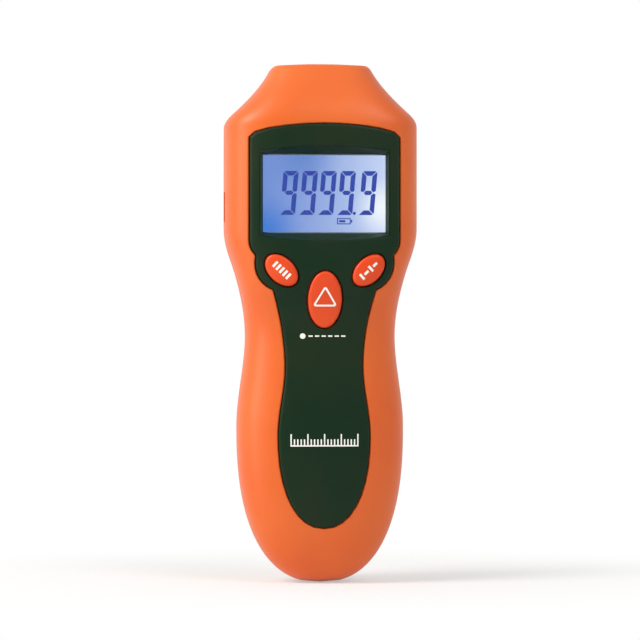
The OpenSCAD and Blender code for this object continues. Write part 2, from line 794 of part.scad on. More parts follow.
module face_panel() {
    color(dark_green) in_frame() difference() {
        union() {
            intersection() {
                front_of(-board_y);
                plate(head_front + cut, head_front) panel_outline();
                body_layer(-panel_proud, panel_t);
            }
            intersection() {
                plate(head_front + cut, head_front) offset(delta = -ledge_w - panel_gap / 2) panel_outline();
                body_layer(0, wall_t);
            }
            intersection() {
                body_solid(panel_t / 2);
                union() {
                    plate(head_front, recess_depth) translate([0, pane_z])
                        square([pane_w, pane_h], center = true);
                    for (x = [-lower_post_x, lower_post_x])
                        pin(x, lower_post_z, head_front, head_front - board_y, post_r);
                }
            }
        }
        hull() {
            plate(face_y, cut) translate([0, view_z]) square([view_w, view_h], center = true);
            plate(head_front + panel_proud, film_t) recess_outline();
        }
        plate(head_front + panel_proud + cut, cut + film_t) recess_outline();
        plate(face_y, face_y - board_y) translate([0, pane_z])
            square([frame_w + 2 * display_gap, frame_h + 2 * display_gap], center = true);
        for (side = [-1, 0, 1]) plate(head_front + cut, head_front) key_outline(side, key_gap);
        for (x = [-lower_post_x, lower_post_x])
            pin(x, lower_post_z, board_y + lower_pilot_len, lower_pilot_len + cut, small_screw_r + pilot_gap);
    }
}

module lcd_window() {
    color("#cfe0ea") in_frame()
        plate(face_y, window_t) translate([0, pane_z]) square([pane_w, pane_h], center = true);
}

// The two glass panes of the display; the front one is shorter and leaves the contact ledge bare
module lcd_panes() {
    color("#8fa6d8") in_frame() {
        plate(pane_y, glass_t / 2) translate([0, pane_z + contact_ledge / 2])
            square([pane_w, pane_h - contact_ledge], center = true);
        plate(pane_y - glass_t / 2, glass_t / 2) translate([0, pane_z])
            square([pane_w, pane_h], center = true);
    }
}

module lcd_polarisers() {
    color("#6d86c0") in_frame()
        for (y = [pane_y + film_t, pane_y - glass_t])
            plate(y, film_t) translate([0, view_z])
                square([view_w + 2 * polariser_margin, view_h + 2 * polariser_margin], center = true);
}

// White frame that holds the panes and the light guide on the board
module lcd_frame() {
    color("#e8e8e4") in_frame() difference() {
        plate(pane_y, pane_y - board_y) translate([0, pane_z]) square([frame_w, frame_h], center = true);
        // seat for the panes
        plate(pane_y + cut, glass_t + cut) translate([0, pane_z])
            square([frame_w - 2 * frame_t, frame_h - 2 * frame_t], center = true);
        // pockets for the light guide and its lamp
        plate(pane_y, pane_y - guide_y + guide_t) {
            translate([0, guide_low_z + guide_h / 2])
                square([guide_w, guide_h + 2 * guide_pocket_gap], center = true);
            translate([-(guide_w + led_t) / 2, view_z])
                square([led_t + 2 * guide_pocket_gap, led_len + 2 * guide_pocket_gap], center = true);
        }
        // slot for the contact strip
        plate(pane_y, pane_y) translate([0, pane_low_z + display_gap + strip_t / 2])
            square([guide_w, strip_t + 2 * guide_pocket_gap], center = true);
    }
}

module light_guide() {
    color("#dfeaff") in_frame() plate(guide_y, guide_t) translate([0, guide_low_z + guide_h / 2])
        square([guide_w - 2 * display_gap, guide_h], center = true);
}

module backlight_led() {
    color("#f4f4d8") in_frame() plate(guide_y - display_gap, guide_t - 2 * display_gap)
        translate([-(guide_w + led_t) / 2, view_z]) square([led_t, led_len], center = true);
}

// Elastomer strip that joins the pane's contacts to the board
module contact_strip() {
    color("#c8588c") in_frame() plate(pane_y - glass_t, pane_y - glass_t - board_y)
        translate([0, pane_low_z + display_gap + strip_t / 2])
            square([guide_w - 2 * display_gap, strip_t], center = true);
}

module main_board() {
    color(board_green) in_frame() difference() {
        plate(board_y, board_t) polygon(concat(
            [for (p = board_corners) p],
            [for (i = [len(board_corners) - 1 : -1 : 0]) [-board_corners[i][0], board_corners[i][1]]]));
        for (p = board_screw_places)
            pin(p[0], p[1], board_y + cut, board_t + 2 * cut, small_screw_r + 2 * pilot_gap);
    }
}

// A screw along Y with its head towards the back: the level is that of the seat under the head
module screw(x, z, seat_y, length, r, head_r, head_t) {
    difference() {
        union() {
            pin(x, z, length - seat_y, length, r);
            pin(x, z, -seat_y, head_t, head_r);
        }
        for (a = [0, 90]) translate([x, seat_y + head_t, z]) rotate([0, a, 0])
            cube([head_r * slot_share, head_t, head_r / 4], center = true);
    }
}

module board_screws() {
    color(steel) in_frame() for (p = board_screw_places)
        screw(p[0], p[1], -board_back_y, board_screw_len, small_screw_r, small_head_r, small_head_t);
}

module controller_chip() {
    color(black) in_frame() plate(board_back_y, chip_t) translate([0, chip_z]) square(chip_w, center = true);
}

module crystal_can() {
    color(steel) in_frame() plate(board_back_y, crystal_t) translate([chip_w, chip_z])
        rounded_rectangle(crystal_t, crystal_len, crystal_t / 3);
}

module smoothing_capacitor() {
    color("#26324f") in_frame() translate([-chip_w, cap_r - board_back_y, chip_z - cap_len / 2])
        cylinder(r = cap_r, h = cap_len, $fn = round_n);
}

// Rows of small chip resistors and capacitors above and below the controller
module chip_parts() {
    color("#8a6f4d") in_frame() for (row = [-1, 1], i = [-2 : 2])
        plate(board_back_y, chip_part_t)
            translate([i * 2 * chip_part_len, chip_z + row * (chip_w / 2 + 2 * chip_part_len)])
                square([chip_part_len / 2, chip_part_len], center = true);
}

// Rubber mat on the board, open under each key
module keypad_mat() {
    color("#3a3a3c") in_frame() plate(board_y + mat_t, mat_t) difference() {
        hull() for (side = [-1, 0, 1]) key_outline(side, mat_reach);
        for (side = [-1, 0, 1]) key_outline(side, bell_reach - bell_t);
    }
}

// A key: its cap follows the face, and its flange lies under the panel
module key_cap(side) {
    color(key_orange) in_frame() {
        intersection() {
            front_of(-key_base_y);
            body_solid(-key_proud);
            plate(head_front + 2 * key_proud, head_front) key_outline(side);
        }
        intersection() {
            front_of(-key_base_y);
            body_solid(wall_t + display_gap / 2);
            plate(head_front, head_front) key_outline(side, key_flange);
        }
        pin(side * side_key_x, side == 0 ? main_key_z : side_key_z, key_base_y + cut,
            key_base_y + cut - pill_y - pill_t, pill_r + bell_t);
    }
}

// Thin rubber bell between a key and the mat, which springs the key back
module key_bell(side) {
    color("#45454a") in_frame() difference() {
        hull() {
            plate(key_base_y, film_t) key_outline(side, bell_t);
            plate(board_y + mat_t + film_t, film_t) key_outline(side, bell_reach);
        }
        hull() {
            plate(key_base_y + film_t / 2, film_t) key_outline(side, 0);
            plate(board_y + mat_t + film_t / 2, film_t) key_outline(side, bell_reach - bell_t);
        }
    }
}

module key_pill(side) {
    color(black) in_frame()
        pin(side * side_key_x, side == 0 ? main_key_z : side_key_z, pill_y + pill_t, pill_t, pill_r);
}

module left_key() { key_cap(-1); }
module left_key_bell() { key_bell(-1); }
module left_key_pill() { key_pill(-1); }
module right_key() { key_cap(1); }
module right_key_bell() { key_bell(1); }
module right_key_pill() { key_pill(1); }
module main_key() { key_cap(0); }
module main_key_bell() { key_bell(0); }
module main_key_pill() { key_pill(0); }

// Dark window over both optical axes, held by its flange under the shells' end wall
module nose_window() {
    color("#3a0f12") in_frame() translate([0, optics_y, window_z]) {
        linear_extrude(nose_flange_t)
            rounded_rectangle(
                nose_window_w + 2 * nose_flange_w,
                nose_window_d + 2 * nose_flange_w,
                nose_window_r);
        linear_extrude(body_len - nose_window_rise - window_z)
            rounded_rectangle(nose_window_w, nose_window_d, nose_window_r);
    }
}

module optics_block() {
    color(black) in_frame() difference() {
        union() {
            translate([-optics_w / 2, optics_y - optics_d / 2, optics_z])
                cube([optics_w, optics_d, optics_len]);
            translate([-optics_w / 2 - optics_wing, optics_seat_y, optics_screw_z - optics_wing_h / 2])
                cube([optics_w + 2 * optics_wing, optics_wing_t, optics_wing_h]);
        }
        translate([-laser_x, optics_y, optics_z - cut])
            cylinder(r = laser_r + optics_gap, h = optics_len + 2 * cut, $fn = round_n);
        translate([receiver_x, optics_y, optics_z - cut])
            cylinder(r = lens_r + optics_gap, h = optics_len + 2 * cut, $fn = round_n);
        for (x = [-optics_screw_x, optics_screw_x])
            pin(x, optics_screw_z, 0, head_back, small_screw_r + 2 * pilot_gap);
    }
}

module optics_screws() {
    color(steel) in_frame() for (x = [-1, 1]) difference() {
        union() {
            pin(x * optics_screw_x, optics_screw_z, -optics_seat_y, optics_screw_len, small_screw_r);
            pin(x * optics_screw_x, optics_screw_z, small_head_t - optics_seat_y, small_head_t, small_head_r);
        }
        for (a = [0, 90]) translate([x * optics_screw_x, optics_seat_y - small_head_t, optics_screw_z])
            rotate([0, a, 0])
                cube([small_head_r * slot_share, small_head_t, small_head_r / 4], center = true);
    }
}

module laser_barrel() {
    color(brass) in_frame() translate([-laser_x, optics_y, laser_z]) difference() {
        cylinder(r = laser_r, h = laser_len, $fn = round_n);
        translate([0, 0, -cut])
            cylinder(r = barrel_bore_r, h = laser_len - barrel_end_t + cut, $fn = round_n);
        cylinder(r = beam_r, h = laser_len + cut, $fn = round_n);
    }
}

module laser_lens() {
    color("#dfe9ef") in_frame()
        translate([-laser_x, optics_y, laser_z + laser_len - barrel_end_t - laser_lens_t])
            cylinder(r = barrel_bore_r - pilot_gap, h = laser_lens_t, $fn = round_n);
}

module laser_diode() {
    color(steel) in_frame() translate([-laser_x, optics_y, laser_z + optics_gap]) {
        cylinder(r = barrel_bore_r - pilot_gap, h = diode_len / 4, $fn = round_n);
        cylinder(r = diode_r, h = diode_len, $fn = round_n);
    }
}

// Plano-convex lens with its crown towards the nose
module receiver_lens() {
    sphere_r = (lens_r * lens_r + lens_crown * lens_crown) / (2 * lens_crown);
    color("#dfe9ef") in_frame()
        translate([receiver_x, optics_y, optics_z + optics_len - receiver_lens_drop - lens_crown - lens_t])
            intersection() {
                cylinder(r = lens_r, h = lens_t + lens_crown, $fn = round_n);
                translate([0, 0, lens_t + lens_crown - sphere_r]) sphere(r = sphere_r, $fn = round_n);
            }
}

module photodiode() {
    color("#2b2b31") in_frame() translate([receiver_x, optics_y, optics_z]) {
        cylinder(r = photodiode_r, h = photodiode_len, $fn = round_n);
        cylinder(r = photodiode_r + bell_t, h = bell_t, $fn = round_n);
    }
}

module sensor_board() {
    color(board_green) in_frame() difference() {
        translate([-optics_w / 2, optics_y - optics_d / 2, optics_z - sensor_board_t])
            cube([optics_w, optics_d, sensor_board_t]);
        translate([-laser_x, optics_y, optics_z - sensor_board_t - cut])
            cylinder(r = barrel_bore_r, h = sensor_board_t + 2 * cut, $fn = round_n);
    }
}

// A point on the curve with the four control points p
function curve_point(p, t) =
    pow(1 - t, 3) * p[0] + 3 * pow(1 - t, 2) * t * p[1] + 3 * (1 - t) * t * t * p[2] + pow(t, 3) * p[3];
// Unit vector along that curve
function curve_way(p, t) =
    let (v = pow(1 - t, 2) * (p[1] - p[0]) + 2 * (1 - t) * t * (p[2] - p[1]) + t * t * (p[3] - p[2]))
    v / norm(v);

// Flat ribbon from the sensor board to the main board
module sensor_flex() {
    steps = curve_n;
    path = [for (i = [0 : steps]) curve_point(flex_curve, i / steps)];
    color("#c77a2c") in_frame() translate([receiver_x - flex_w / 2, 0, 0]) rotate([90, 0, 90])
        linear_extrude(flex_w) polygon(concat(
            path,
            [for (i = [steps : -1 : 0])
                let (d = curve_way(flex_curve, i / steps))
                path[i] + film_t * [-d[1], d[0]]]));
}

// Round lead along the curve with the four control points p
module lead(p) {
    steps = curve_n;
    sides = lead_n;
    path = [for (i = [0 : steps]) curve_point(p, i / steps)];
    points = [
        for (i = [0 : steps])
            let (
                d = curve_way(p, i / steps),
                u = cross(d, [1, 0, 0]),
                v = cross(d, u))
            for (k = [0 : sides - 1])
                path[i] + lead_r * (cos(360 * k / sides) * u + sin(360 * k / sides) * v)];
    polyhedron(points, concat(
        [[for (k = [0 : sides - 1]) k]],
        [for (i = [0 : steps - 1], k = [0 : sides - 1])
            let (a = i * sides + k, b = i * sides + (k + 1) % sides)
            each [[a, a + sides, b], [b, a + sides, b + sides]]],
        [[for (k = [sides - 1 : -1 : 0]) steps * sides + k]]));
}

module laser_leads() {
    color("#b8322a") in_frame() for (x = [-1, 1]) lead([
        [x * lead_r * 2 - laser_x, optics_y, laser_z],
        [x * lead_r * 2 - laser_x, optics_y, laser_z - laser_lead_drop],
        [x * lead_r * 2 - laser_x, optics_y, laser_z - laser_lead_drop],
        [x * lead_r * 2 - laser_x, -board_back_y, laser_z - laser_lead_drop]]);
}

module battery() {
    color("#8f959c") in_frame() translate([0, battery_mid_y, battery_z])
        linear_extrude(battery_h) rounded_rectangle(battery_w, battery_d, battery_r);
}

module battery_terminals() {
    color(steel) in_frame() translate([0, battery_mid_y, battery_z + battery_h]) {
        translate([terminal_x, 0, 0]) cylinder(r = plus_r, h = terminal_h, $fn = round_n);
        translate([-terminal_x, 0, 0]) cylinder(r = minus_r, h = terminal_h, $fn = 6);
    }
}

// Clip on the battery's terminals
module battery_snap() {
    color(black) in_frame() translate([0, battery_mid_y, battery_z + battery_h + bell_t]) difference() {
        linear_extrude(snap_h) rounded_rectangle(snap_w, snap_d, battery_r);
        for (x = [-1, 1]) translate([x * terminal_x, 0, -cut])
            cylinder(r = minus_r + pilot_gap, h = terminal_h + cut - bell_t + pilot_gap, $fn = round_n);
    }
}

module battery_leads() {
    snap_front = battery_mid_y - snap_d / 2;
    snap_mid_z = battery_z + battery_h + snap_h / 2 + bell_t;
    color("#2a2a2c") in_frame() for (x = [-1, 1]) lead([
        [x * lead_r * 2, snap_front, snap_mid_z],
        [x * lead_r * 2, -battery_y, snap_mid_z],
        [x * lead_r * 2, -battery_y / 2, snap_mid_z + battery_lead_rise],
        [x * lead_r * 2, -board_back_y, snap_mid_z + battery_lead_rise]]);
}

// Door over the battery, with a boss for its screw
module battery_door() {
    color(orange) in_frame() difference() {
        union() {
            intersection() {
                behind(insert_boss_y);
                plate(-insert_boss_y, head_back) door_outline();
                body_layer(0, door_t - pilot_gap);
            }
            intersection() {
                behind(insert_boss_y);
                plate(-insert_boss_y, head_back) offset(delta = -door_ledge - door_gap) door_outline();
                body_layer(door_t / 2, wall_t);
            }
            intersection() {
                body_solid(door_t / 2);
                pin(0, door_screw_z, -door_boss_y, head_back, door_boss_r);
            }
        }
        pin(0, door_screw_z, -insert_boss_y, head_back, door_screw_r + screw_gap);
        pin(0, door_screw_z, -door_seat_y, head_back, small_head_r + screw_gap);
    }
}

module door_screw() {
    color(steel) in_frame()
        screw(0, door_screw_z, door_seat_y, door_screw_len, door_screw_r, small_head_r, small_head_t);
}

module door_insert() {
    color(brass) in_frame() difference() {
        pin(0, door_screw_z, door_insert_len + insert_gap - door_boss_y, door_insert_len, door_insert_r);
        pin(0, door_screw_z, -insert_boss_y, head_back, door_screw_r + pilot_gap);
    }
}

// Foam pad inside the door that keeps the battery still
module door_foam() {
    color("#4a4a4d") in_frame() translate([-foam_w / 2, foam_y, foam_z - foam_len / 2])
        cube([foam_w, foam_back_y - foam_y, foam_len]);
}

module case_screws() {
    color(steel) in_frame() for (p = screw_places)
        screw(p[0], p[1], screw_seat_y, screw_len, screw_r, screw_head_r, screw_head_t);
}

// Threaded brass insert whose flange is the seat for a tripod
module tripod_insert() {
    color(brass) in_frame() difference() {
        union() {
            pin(0, socket_z, insert_floor_t - seat_y + socket_len, socket_len + insert_floor_t, insert_r);
            pin(0, socket_z, insert_flange_t - seat_y, insert_flange_t, insert_flange_r);
        }
        pin(0, socket_z, socket_len - seat_y, socket_len + cut, socket_r);
    }
}

front_shell();
rear_shell();
face_panel();
lcd_window();
lcd_panes();
lcd_polarisers();
lcd_frame();
light_guide();
backlight_led();
contact_strip();
main_board();
board_screws();
controller_chip();
crystal_can();
smoothing_capacitor();
chip_parts();
keypad_mat();
left_key();
left_key_bell();
left_key_pill();
right_key();
right_key_bell();
right_key_pill();
main_key();
main_key_bell();
main_key_pill();
nose_window();
optics_block();
optics_screws();
laser_barrel();
laser_lens();
laser_diode();
receiver_lens();
photodiode();
sensor_board();
sensor_flex();
laser_leads();
battery();
battery_terminals();
battery_snap();
battery_leads();
battery_door();
door_screw();
door_insert();
door_foam();
case_screws();
tripod_insert();
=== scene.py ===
import math

import bpy
import numpy as np
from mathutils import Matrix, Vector
from mathutils.geometry import tessellate_polygon


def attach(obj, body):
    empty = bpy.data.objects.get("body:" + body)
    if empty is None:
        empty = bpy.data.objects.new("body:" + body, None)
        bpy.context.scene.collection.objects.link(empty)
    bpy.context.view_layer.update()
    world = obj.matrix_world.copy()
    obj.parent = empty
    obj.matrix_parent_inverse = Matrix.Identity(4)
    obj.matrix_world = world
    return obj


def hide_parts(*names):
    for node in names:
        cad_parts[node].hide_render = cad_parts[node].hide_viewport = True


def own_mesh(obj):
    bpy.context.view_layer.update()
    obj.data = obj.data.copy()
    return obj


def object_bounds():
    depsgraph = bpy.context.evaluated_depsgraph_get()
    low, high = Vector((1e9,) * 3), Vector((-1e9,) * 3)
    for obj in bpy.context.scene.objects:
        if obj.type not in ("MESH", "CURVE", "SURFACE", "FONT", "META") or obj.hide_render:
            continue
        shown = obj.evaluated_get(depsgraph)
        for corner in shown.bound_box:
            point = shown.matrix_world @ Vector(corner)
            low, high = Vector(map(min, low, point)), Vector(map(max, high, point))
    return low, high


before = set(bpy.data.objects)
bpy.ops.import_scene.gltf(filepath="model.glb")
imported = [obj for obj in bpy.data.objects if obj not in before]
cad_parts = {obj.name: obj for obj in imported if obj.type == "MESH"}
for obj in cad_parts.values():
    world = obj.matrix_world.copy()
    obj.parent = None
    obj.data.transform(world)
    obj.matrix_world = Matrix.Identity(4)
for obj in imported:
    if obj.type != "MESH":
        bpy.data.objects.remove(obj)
cad_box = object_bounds()

# Camera
# It looks square at the face, from a few degrees to its left and from far enough away that the side
# walls hardly show. The picture spans a little more than the case's length at the face.
MM = 0.001
view_turn = math.radians(-5)
view_far = 1.15
picture_width = 0.1977
camera_aim = Vector((0.0001, -0.0224, -0.0242))
camera_data = bpy.data.cameras.new("camera")
camera_data.lens = camera_data.sensor_width * view_far / picture_width
camera_data.clip_start = view_far / 100
camera = bpy.data.objects.new("camera", camera_data)
bpy.context.scene.collection.objects.link(camera)
camera_way = Vector((math.sin(view_turn), -math.cos(view_turn), 0))
camera.location = camera_aim + camera_way * view_far
camera.rotation_euler = camera_way.to_track_quat("Z", "Y").to_euler()
bpy.context.scene.camera = camera

# Case
# Two halves moulded in orange ABS with a fine satin texture from the mould. They meet on one flat parting
# plane, where their outer edges are slightly rounded, and four screws from behind hold them together.
body_len = 160
head_w = 59
waist_w = 46
grip_w = 51.2
nose_w = 29.6
grip_z = 48
waist_z = 76
head_z = 104.5
plateau_z = 97
shoulder_z = 142
tip_len = 4
# Depths on each side at the grip, waist, head and nose, and the height where the slope to the nose starts
front_depths = (17, 16, 20, 11, 145)
back_depths = (19, 16.5, 22, 13, 134)
# Powers of the rounded ends, the flares and the sections, and reaches of the soft corners between them
butt_power = 2.4
butt_depth_power = 3
tip_power = 4.5
flare_power = 1.85
nose_power = 1.45
front_powers = (2.9, 3.8)
back_power = 3.2
head_soft = 2
shoulder_soft = 2.6
brow_soft = 3
# The tripod socket's mouth, which is the origin, from the foot of the parting plane; then two small lengths,
# the first for slopes and the second for points that count as one
to_butt = np.array((0, 22.4, 105))
nudge = 0.02
weld = 0.0005


def ease(t):
    u = np.clip(t, 0, 1)
    return u * u * (3 - 2 * u)


def blend(a, b, t):
    return a + (b - a) * ease(t)


def soft_min(a, b, reach):
    near = np.maximum(0, reach - np.abs(a - b)) / reach
    return np.minimum(a, b) - near * near * reach / 4


def end_share(t, power):
    return (1 - np.clip(t, 0, 1) ** power) ** (1 / power)


def tip_share(z):
    return end_share((z - body_len + tip_len) / tip_len, tip_power)


def half_width(z):
    """Half the body's width at heights above the butt, in millimetres."""
    middle = blend(grip_w, waist_w, (z - grip_z) / (waist_z - grip_z)) / 2
    rise = np.maximum(0, z - waist_z) / (head_z - waist_z)
    flare = waist_w / 2 + (head_w - waist_w) / 2 * rise ** flare_power
    slope = np.maximum(0, body_len - z) / (body_len - shoulder_z)
    nose = nose_w / 2 + (head_w - nose_w) / 2 * slope ** nose_power
    head = tip_share(z) * soft_min(soft_min(flare, head_w / 2, head_soft), nose, shoulder_soft)
    return np.where(z < waist_z, end_share((grip_z - z) / grip_z, butt_power) * middle, head)


def depth(z, grip_d, waist_d, head_d, nose_d, slope_z):
    """Depth on one side of the parting plane at heights above the butt."""
    middle = blend(grip_d, waist_d, (z - grip_z) / (waist_z - grip_z))
    slope = nose_d + (head_d - nose_d) * (body_len - z) / (body_len - slope_z)
    head = soft_min(blend(waist_d, head_d, (z - waist_z) / (plateau_z - waist_z)), slope, brow_soft)
    butt = end_share((grip_z - z) / grip_z, butt_depth_power) * middle
    return np.where(z < waist_z, butt, tip_share(z) * head)


def front_depth(z):
    return depth(z, *front_depths)


def back_depth(z):
    return depth(z, *back_depths)


def front_power(z):
    return blend(*front_powers, (z - waist_z) / (head_z - waist_z))


def off_surface(points, proud=0):
    """How far points lie outside the body's surface, grown by proud, and the unit vectors out of it."""

    def level(x, y, z):
        z = np.clip(z, 2 * nudge, body_len - 2 * nudge)
        power = np.where(y < 0, front_power(z), back_power)
        deep = np.where(y < 0, front_depth(z), back_depth(z)) + proud
        wide = half_width(z) + proud
        return (np.abs(x / wide) ** power + np.abs(y / deep) ** power) ** (1 / power) - 1

    x, y, z = points.T
    slope = np.stack([
        level(x + nudge, y, z) - level(x - nudge, y, z),
        level(x, y + nudge, z) - level(x, y - nudge, z),
        level(x, y, z + nudge) - level(x, y, z - nudge)], axis=1) / (2 * nudge)
    size = np.linalg.norm(slope, axis=1)
    flat = size < nudge / 10
    slope[flat] = (0, 0, -1)
    size[flat] = 1
    out = slope / size[:, None]
    return np.where(flat, 0, level(x, y, z) / size), out


def node_mesh(name):
    """A CAD node's merged points, in millimetres from the foot of the parting plane, and its triangles."""
    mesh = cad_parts[name].data
    mesh.calc_loop_triangles()
    flat = np.empty(3 * len(mesh.vertices))
    mesh.vertices.foreach_get("co", flat)
    corners = np.empty(3 * len(mesh.loop_triangles), dtype=int)
    mesh.loop_triangles.foreach_get("vertices", corners)
    points = flat.reshape(-1, 3) / MM + to_butt
    _, first, where = np.unique(np.round(points / weld), axis=0, return_index=True, return_inverse=True)
    triangles = where.ravel()[corners].reshape(-1, 3)
    real = (triangles != np.roll(triangles, 1, axis=1)).all(axis=1)
    return points[first], triangles[real]


def split_edges(points, triangles, chosen, wanted):
    """Halves the chosen triangles' edges that are longer than wanted(middle), and says what is chosen now."""
    sides = np.stack([triangles, np.roll(triangles, -1, axis=1)], axis=2).reshape(-1, 2)
    pairs, which = np.unique(np.sort(sides, axis=1), axis=0, return_inverse=True)
    which = which.reshape(-1, 3)
    used = np.zeros(len(pairs), dtype=bool)
    used[which[chosen].ravel()] = True
    ends = points[pairs]
    middles = ends.mean(axis=1)
    length = np.linalg.norm(ends[:, 0] - ends[:, 1], axis=1)
    split = used & (length > 0)
    split[used] &= length[used] > wanted(middles[used])
    added = np.full(len(pairs), -1)
    added[split] = len(points) + np.arange(split.sum())
    new = added[which]
    cuts = (new >= 0).sum(axis=1)
    turn = np.where(cuts == 2, (np.argmin(new, axis=1) + 1) % 3, 0)
    turn = np.where(cuts == 1, np.argmax(new >= 0, axis=1), turn)
    order = (np.arange(3) + turn[:, None]) % 3
    a, b, c = np.take_along_axis(triangles, order, axis=1).T
    ab, bc, ca = np.take_along_axis(new, order, axis=1).T
    patterns = (
        ((a, b, c),),
        ((a, ab, c), (ab, b, c)),
        ((ab, b, bc), (a, ab, bc), (a, bc, c)),
        ((a, ab, ca), (ab, b, bc), (ca, bc, c), (ab, bc, ca)))
    faces = []
    kept = []
    for count, pattern in enumerate(patterns):
        here = cuts == count
        for corners in pattern:
            faces.append(np.stack([corner[here] for corner in corners], axis=1))
            kept.append(chosen[here])
    return np.vstack([points, middles[split]]), np.vstack(faces), np.concatenate(kept)


def from_outline(places, outline):
    """Distance of flat places to a closed outline, and the unit vectors that lead away from it."""
    best = np.full(len(places), np.inf)
    away = np.zeros_like(places)
    for start, end in zip(outline, np.roll(outline, -1, axis=0)):
        run = end - start
        share = np.clip((places - start) @ run / (run @ run), 0, 1)
        offset = places - start - share[:, None] * run
        distance = np.hypot(offset[:, 0], offset[:, 1])
        closer = distance < best
        best[closer] = distance[closer]
        away[closer] = offset[closer]
    return best, away / np.maximum(best, weld)[:, None]


# An edge's rounding stops just short of upright, so that its normal stays finite.
steepest = 0.98


def rounded(points, edges, seam=None):
    """Drop of the rounded edges at points of the surface, and the tilt that they give to its normals.

    An edge is the side of the parting plane that it is on, its outline, how far it lies from that outline,
    and the width and depth of its rounding; seam is that width for the edge on the parting plane."""
    drop = np.zeros(len(points))
    tilt = np.zeros_like(points)

    def press(places, distance, away, width, deep):
        share = np.clip(1 - distance / width, 0, steepest)
        fall = np.sqrt(1 - share ** 2)
        lower = deep * (1 - fall) > drop[places]
        index = np.flatnonzero(places)[lower]
        drop[index] = (deep * (1 - fall))[lower]
        tilt[index] = -away[lower] * (deep / width * share / fall)[lower, None]

    if seam:
        near = np.abs(points[:, 1]) < seam
        way = np.zeros((near.sum(), 3))
        way[:, 1] = np.where(points[near, 1] < 0, -1, 1)
        press(near, np.abs(points[near, 1]), way, seam, seam)
    for side, outline, gap, width, deep in edges:
        low, high = outline.min(axis=0) - gap - width, outline.max(axis=0) + gap + width
        flat = points[:, [0, 2]]
        near = (points[:, 1] * side > 0) & (flat > low).all(axis=1) & (flat < high).all(axis=1)
        if near.any():
            distance, away = from_outline(flat[near], outline)
            way = np.zeros((near.sum(), 3))
            way[:, [0, 2]] = away
            press(near, np.abs(distance - gap), way, width, deep)
    return drop, tilt


# Faces that meet at more than this angle have a sharp edge between them.
sharp_from = math.radians(35)


def mesh_piece(name, points, triangles, material, body, stands_for, normals=None):
    """A piece from points in millimetres above the butt, which rides on a body and stands for CAD nodes."""
    mesh = bpy.data.meshes.new(name)
    mesh.from_pydata(((points - to_butt) * MM).tolist(), [], triangles.tolist())
    mesh.shade_smooth()
    mesh.set_sharp_from_angle(angle=sharp_from)
    if normals is not None:
        mesh.normals_split_custom_set(normals.tolist())
    mesh.materials.append(material)
    piece = bpy.data.objects.new(name, mesh)
    bpy.context.scene.collection.objects.link(piece)
    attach(piece, body)
    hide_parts(*stands_for)
    return piece


# The skin is the part of a node's surface that lies this near the body's and faces the same way.
skin_reach = 0.42
skin_agree = 0.6
# Near an edge the mesh gets finer in two steps, within these multiples of the edge's width.
coarse = 1.6
wide_reach, close_reach = 2.2, 1.2
halvings = 7
# A point is laid on the surface in a few moves, none further than this and none this near the flat ends.
moves = 3
furthest_move = 0.3
flat_end = 0.1


def smooth_skin(name, node, edges, material, body, proud=0, seam=None, fine=0.32):
    """The node's solid with its outer skin laid on the smooth surface of the body and its edges rounded."""
    points, triangles = node_mesh(node)
    distance, out = off_surface(points, proud)
    a, b, c = points[triangles].transpose(1, 0, 2)
    facing = np.cross(b - a, c - a)
    facing /= np.maximum(np.linalg.norm(facing, axis=1), weld ** 2)[:, None]
    agree = (facing * out[triangles].mean(axis=1)).sum(axis=1)
    skin = (np.abs(distance)[triangles] < skin_reach).all(axis=1) & (agree > skin_agree)

    def wanted(middles):
        size = np.full(len(middles), coarse)
        for grown, wish in ((wide_reach, coarse / 2), (close_reach, fine)):
            reach = [(side, line, gap, width * grown, deep) for side, line, gap, width, deep in edges]
            drop, _ = rounded(middles, reach, seam and seam * grown)
            size[drop > 0] = wish
        if seam:
            size[np.abs(middles[:, 1]) < seam] = fine / 2
        return size

    for _ in range(halvings):
        points, triangles, skin = split_edges(points, triangles, skin, wanted)
    outer = np.unique(triangles[skin])
    placed = points[outer]
    for _ in range(moves):
        distance, out = off_surface(placed, proud)
        inside = (placed[:, 2] > flat_end) & (placed[:, 2] < body_len - flat_end)
        placed -= out * (np.clip(distance, -furthest_move, furthest_move) * inside)[:, None]
    _, out = off_surface(placed, proud)
    drop, tilt = rounded(placed, edges, seam)
    points[outer] = placed - out * drop[:, None]
    at_point = np.zeros_like(points)
    way = out + tilt
    at_point[outer] = way / np.linalg.norm(way, axis=1)[:, None]
    normals = np.zeros((len(triangles), 3, 3))
    normals[skin] = at_point[triangles[skin]]
    return mesh_piece(name, points, triangles, material, body, (node,), normals.reshape(-1, 3))


def colour(code):
    """Linear colour of an sRGB hex value."""
    shares = [int(code[i:i + 2], 16) / 255 for i in (1, 3, 5)]
    return [s / 12.92 if s <= 0.04045 else ((s + 0.055) / 1.055) ** 2.4 for s in shares] + [1]


def add(tree, kind, inputs=None, **settings):
    """Adds a node with its settings; inputs maps a socket's name or number to a value or another socket."""
    node = tree.nodes.new(kind)
    for key, value in settings.items():
        setattr(node, key, value)
    for key, value in (inputs or {}).items():
        if isinstance(value, bpy.types.NodeSocket):
            tree.links.new(value, node.inputs[key])
        else:
            node.inputs[key].default_value = value
    return node


def surface(name, constants):
    """A material with one shader, whose constants are set on its own sockets."""
    material = bpy.data.materials.new(name)
    material.use_nodes = True
    tree = material.node_tree
    shader = tree.nodes["Principled BSDF"]
    for key, value in constants.items():
        shader.inputs[key].default_value = value
    place = add(tree, "ShaderNodeTexCoord").outputs["Object"]
    return material, tree, shader, place


def per_metre(size):
    """Texture scale whose features are size millimetres across."""
    return 1 / (size * MM)


# A moulding's colour drifts over this length. A noise's values between calm and rugged change the roughness.
drift = 26
calm, rugged = 0.3, 0.7


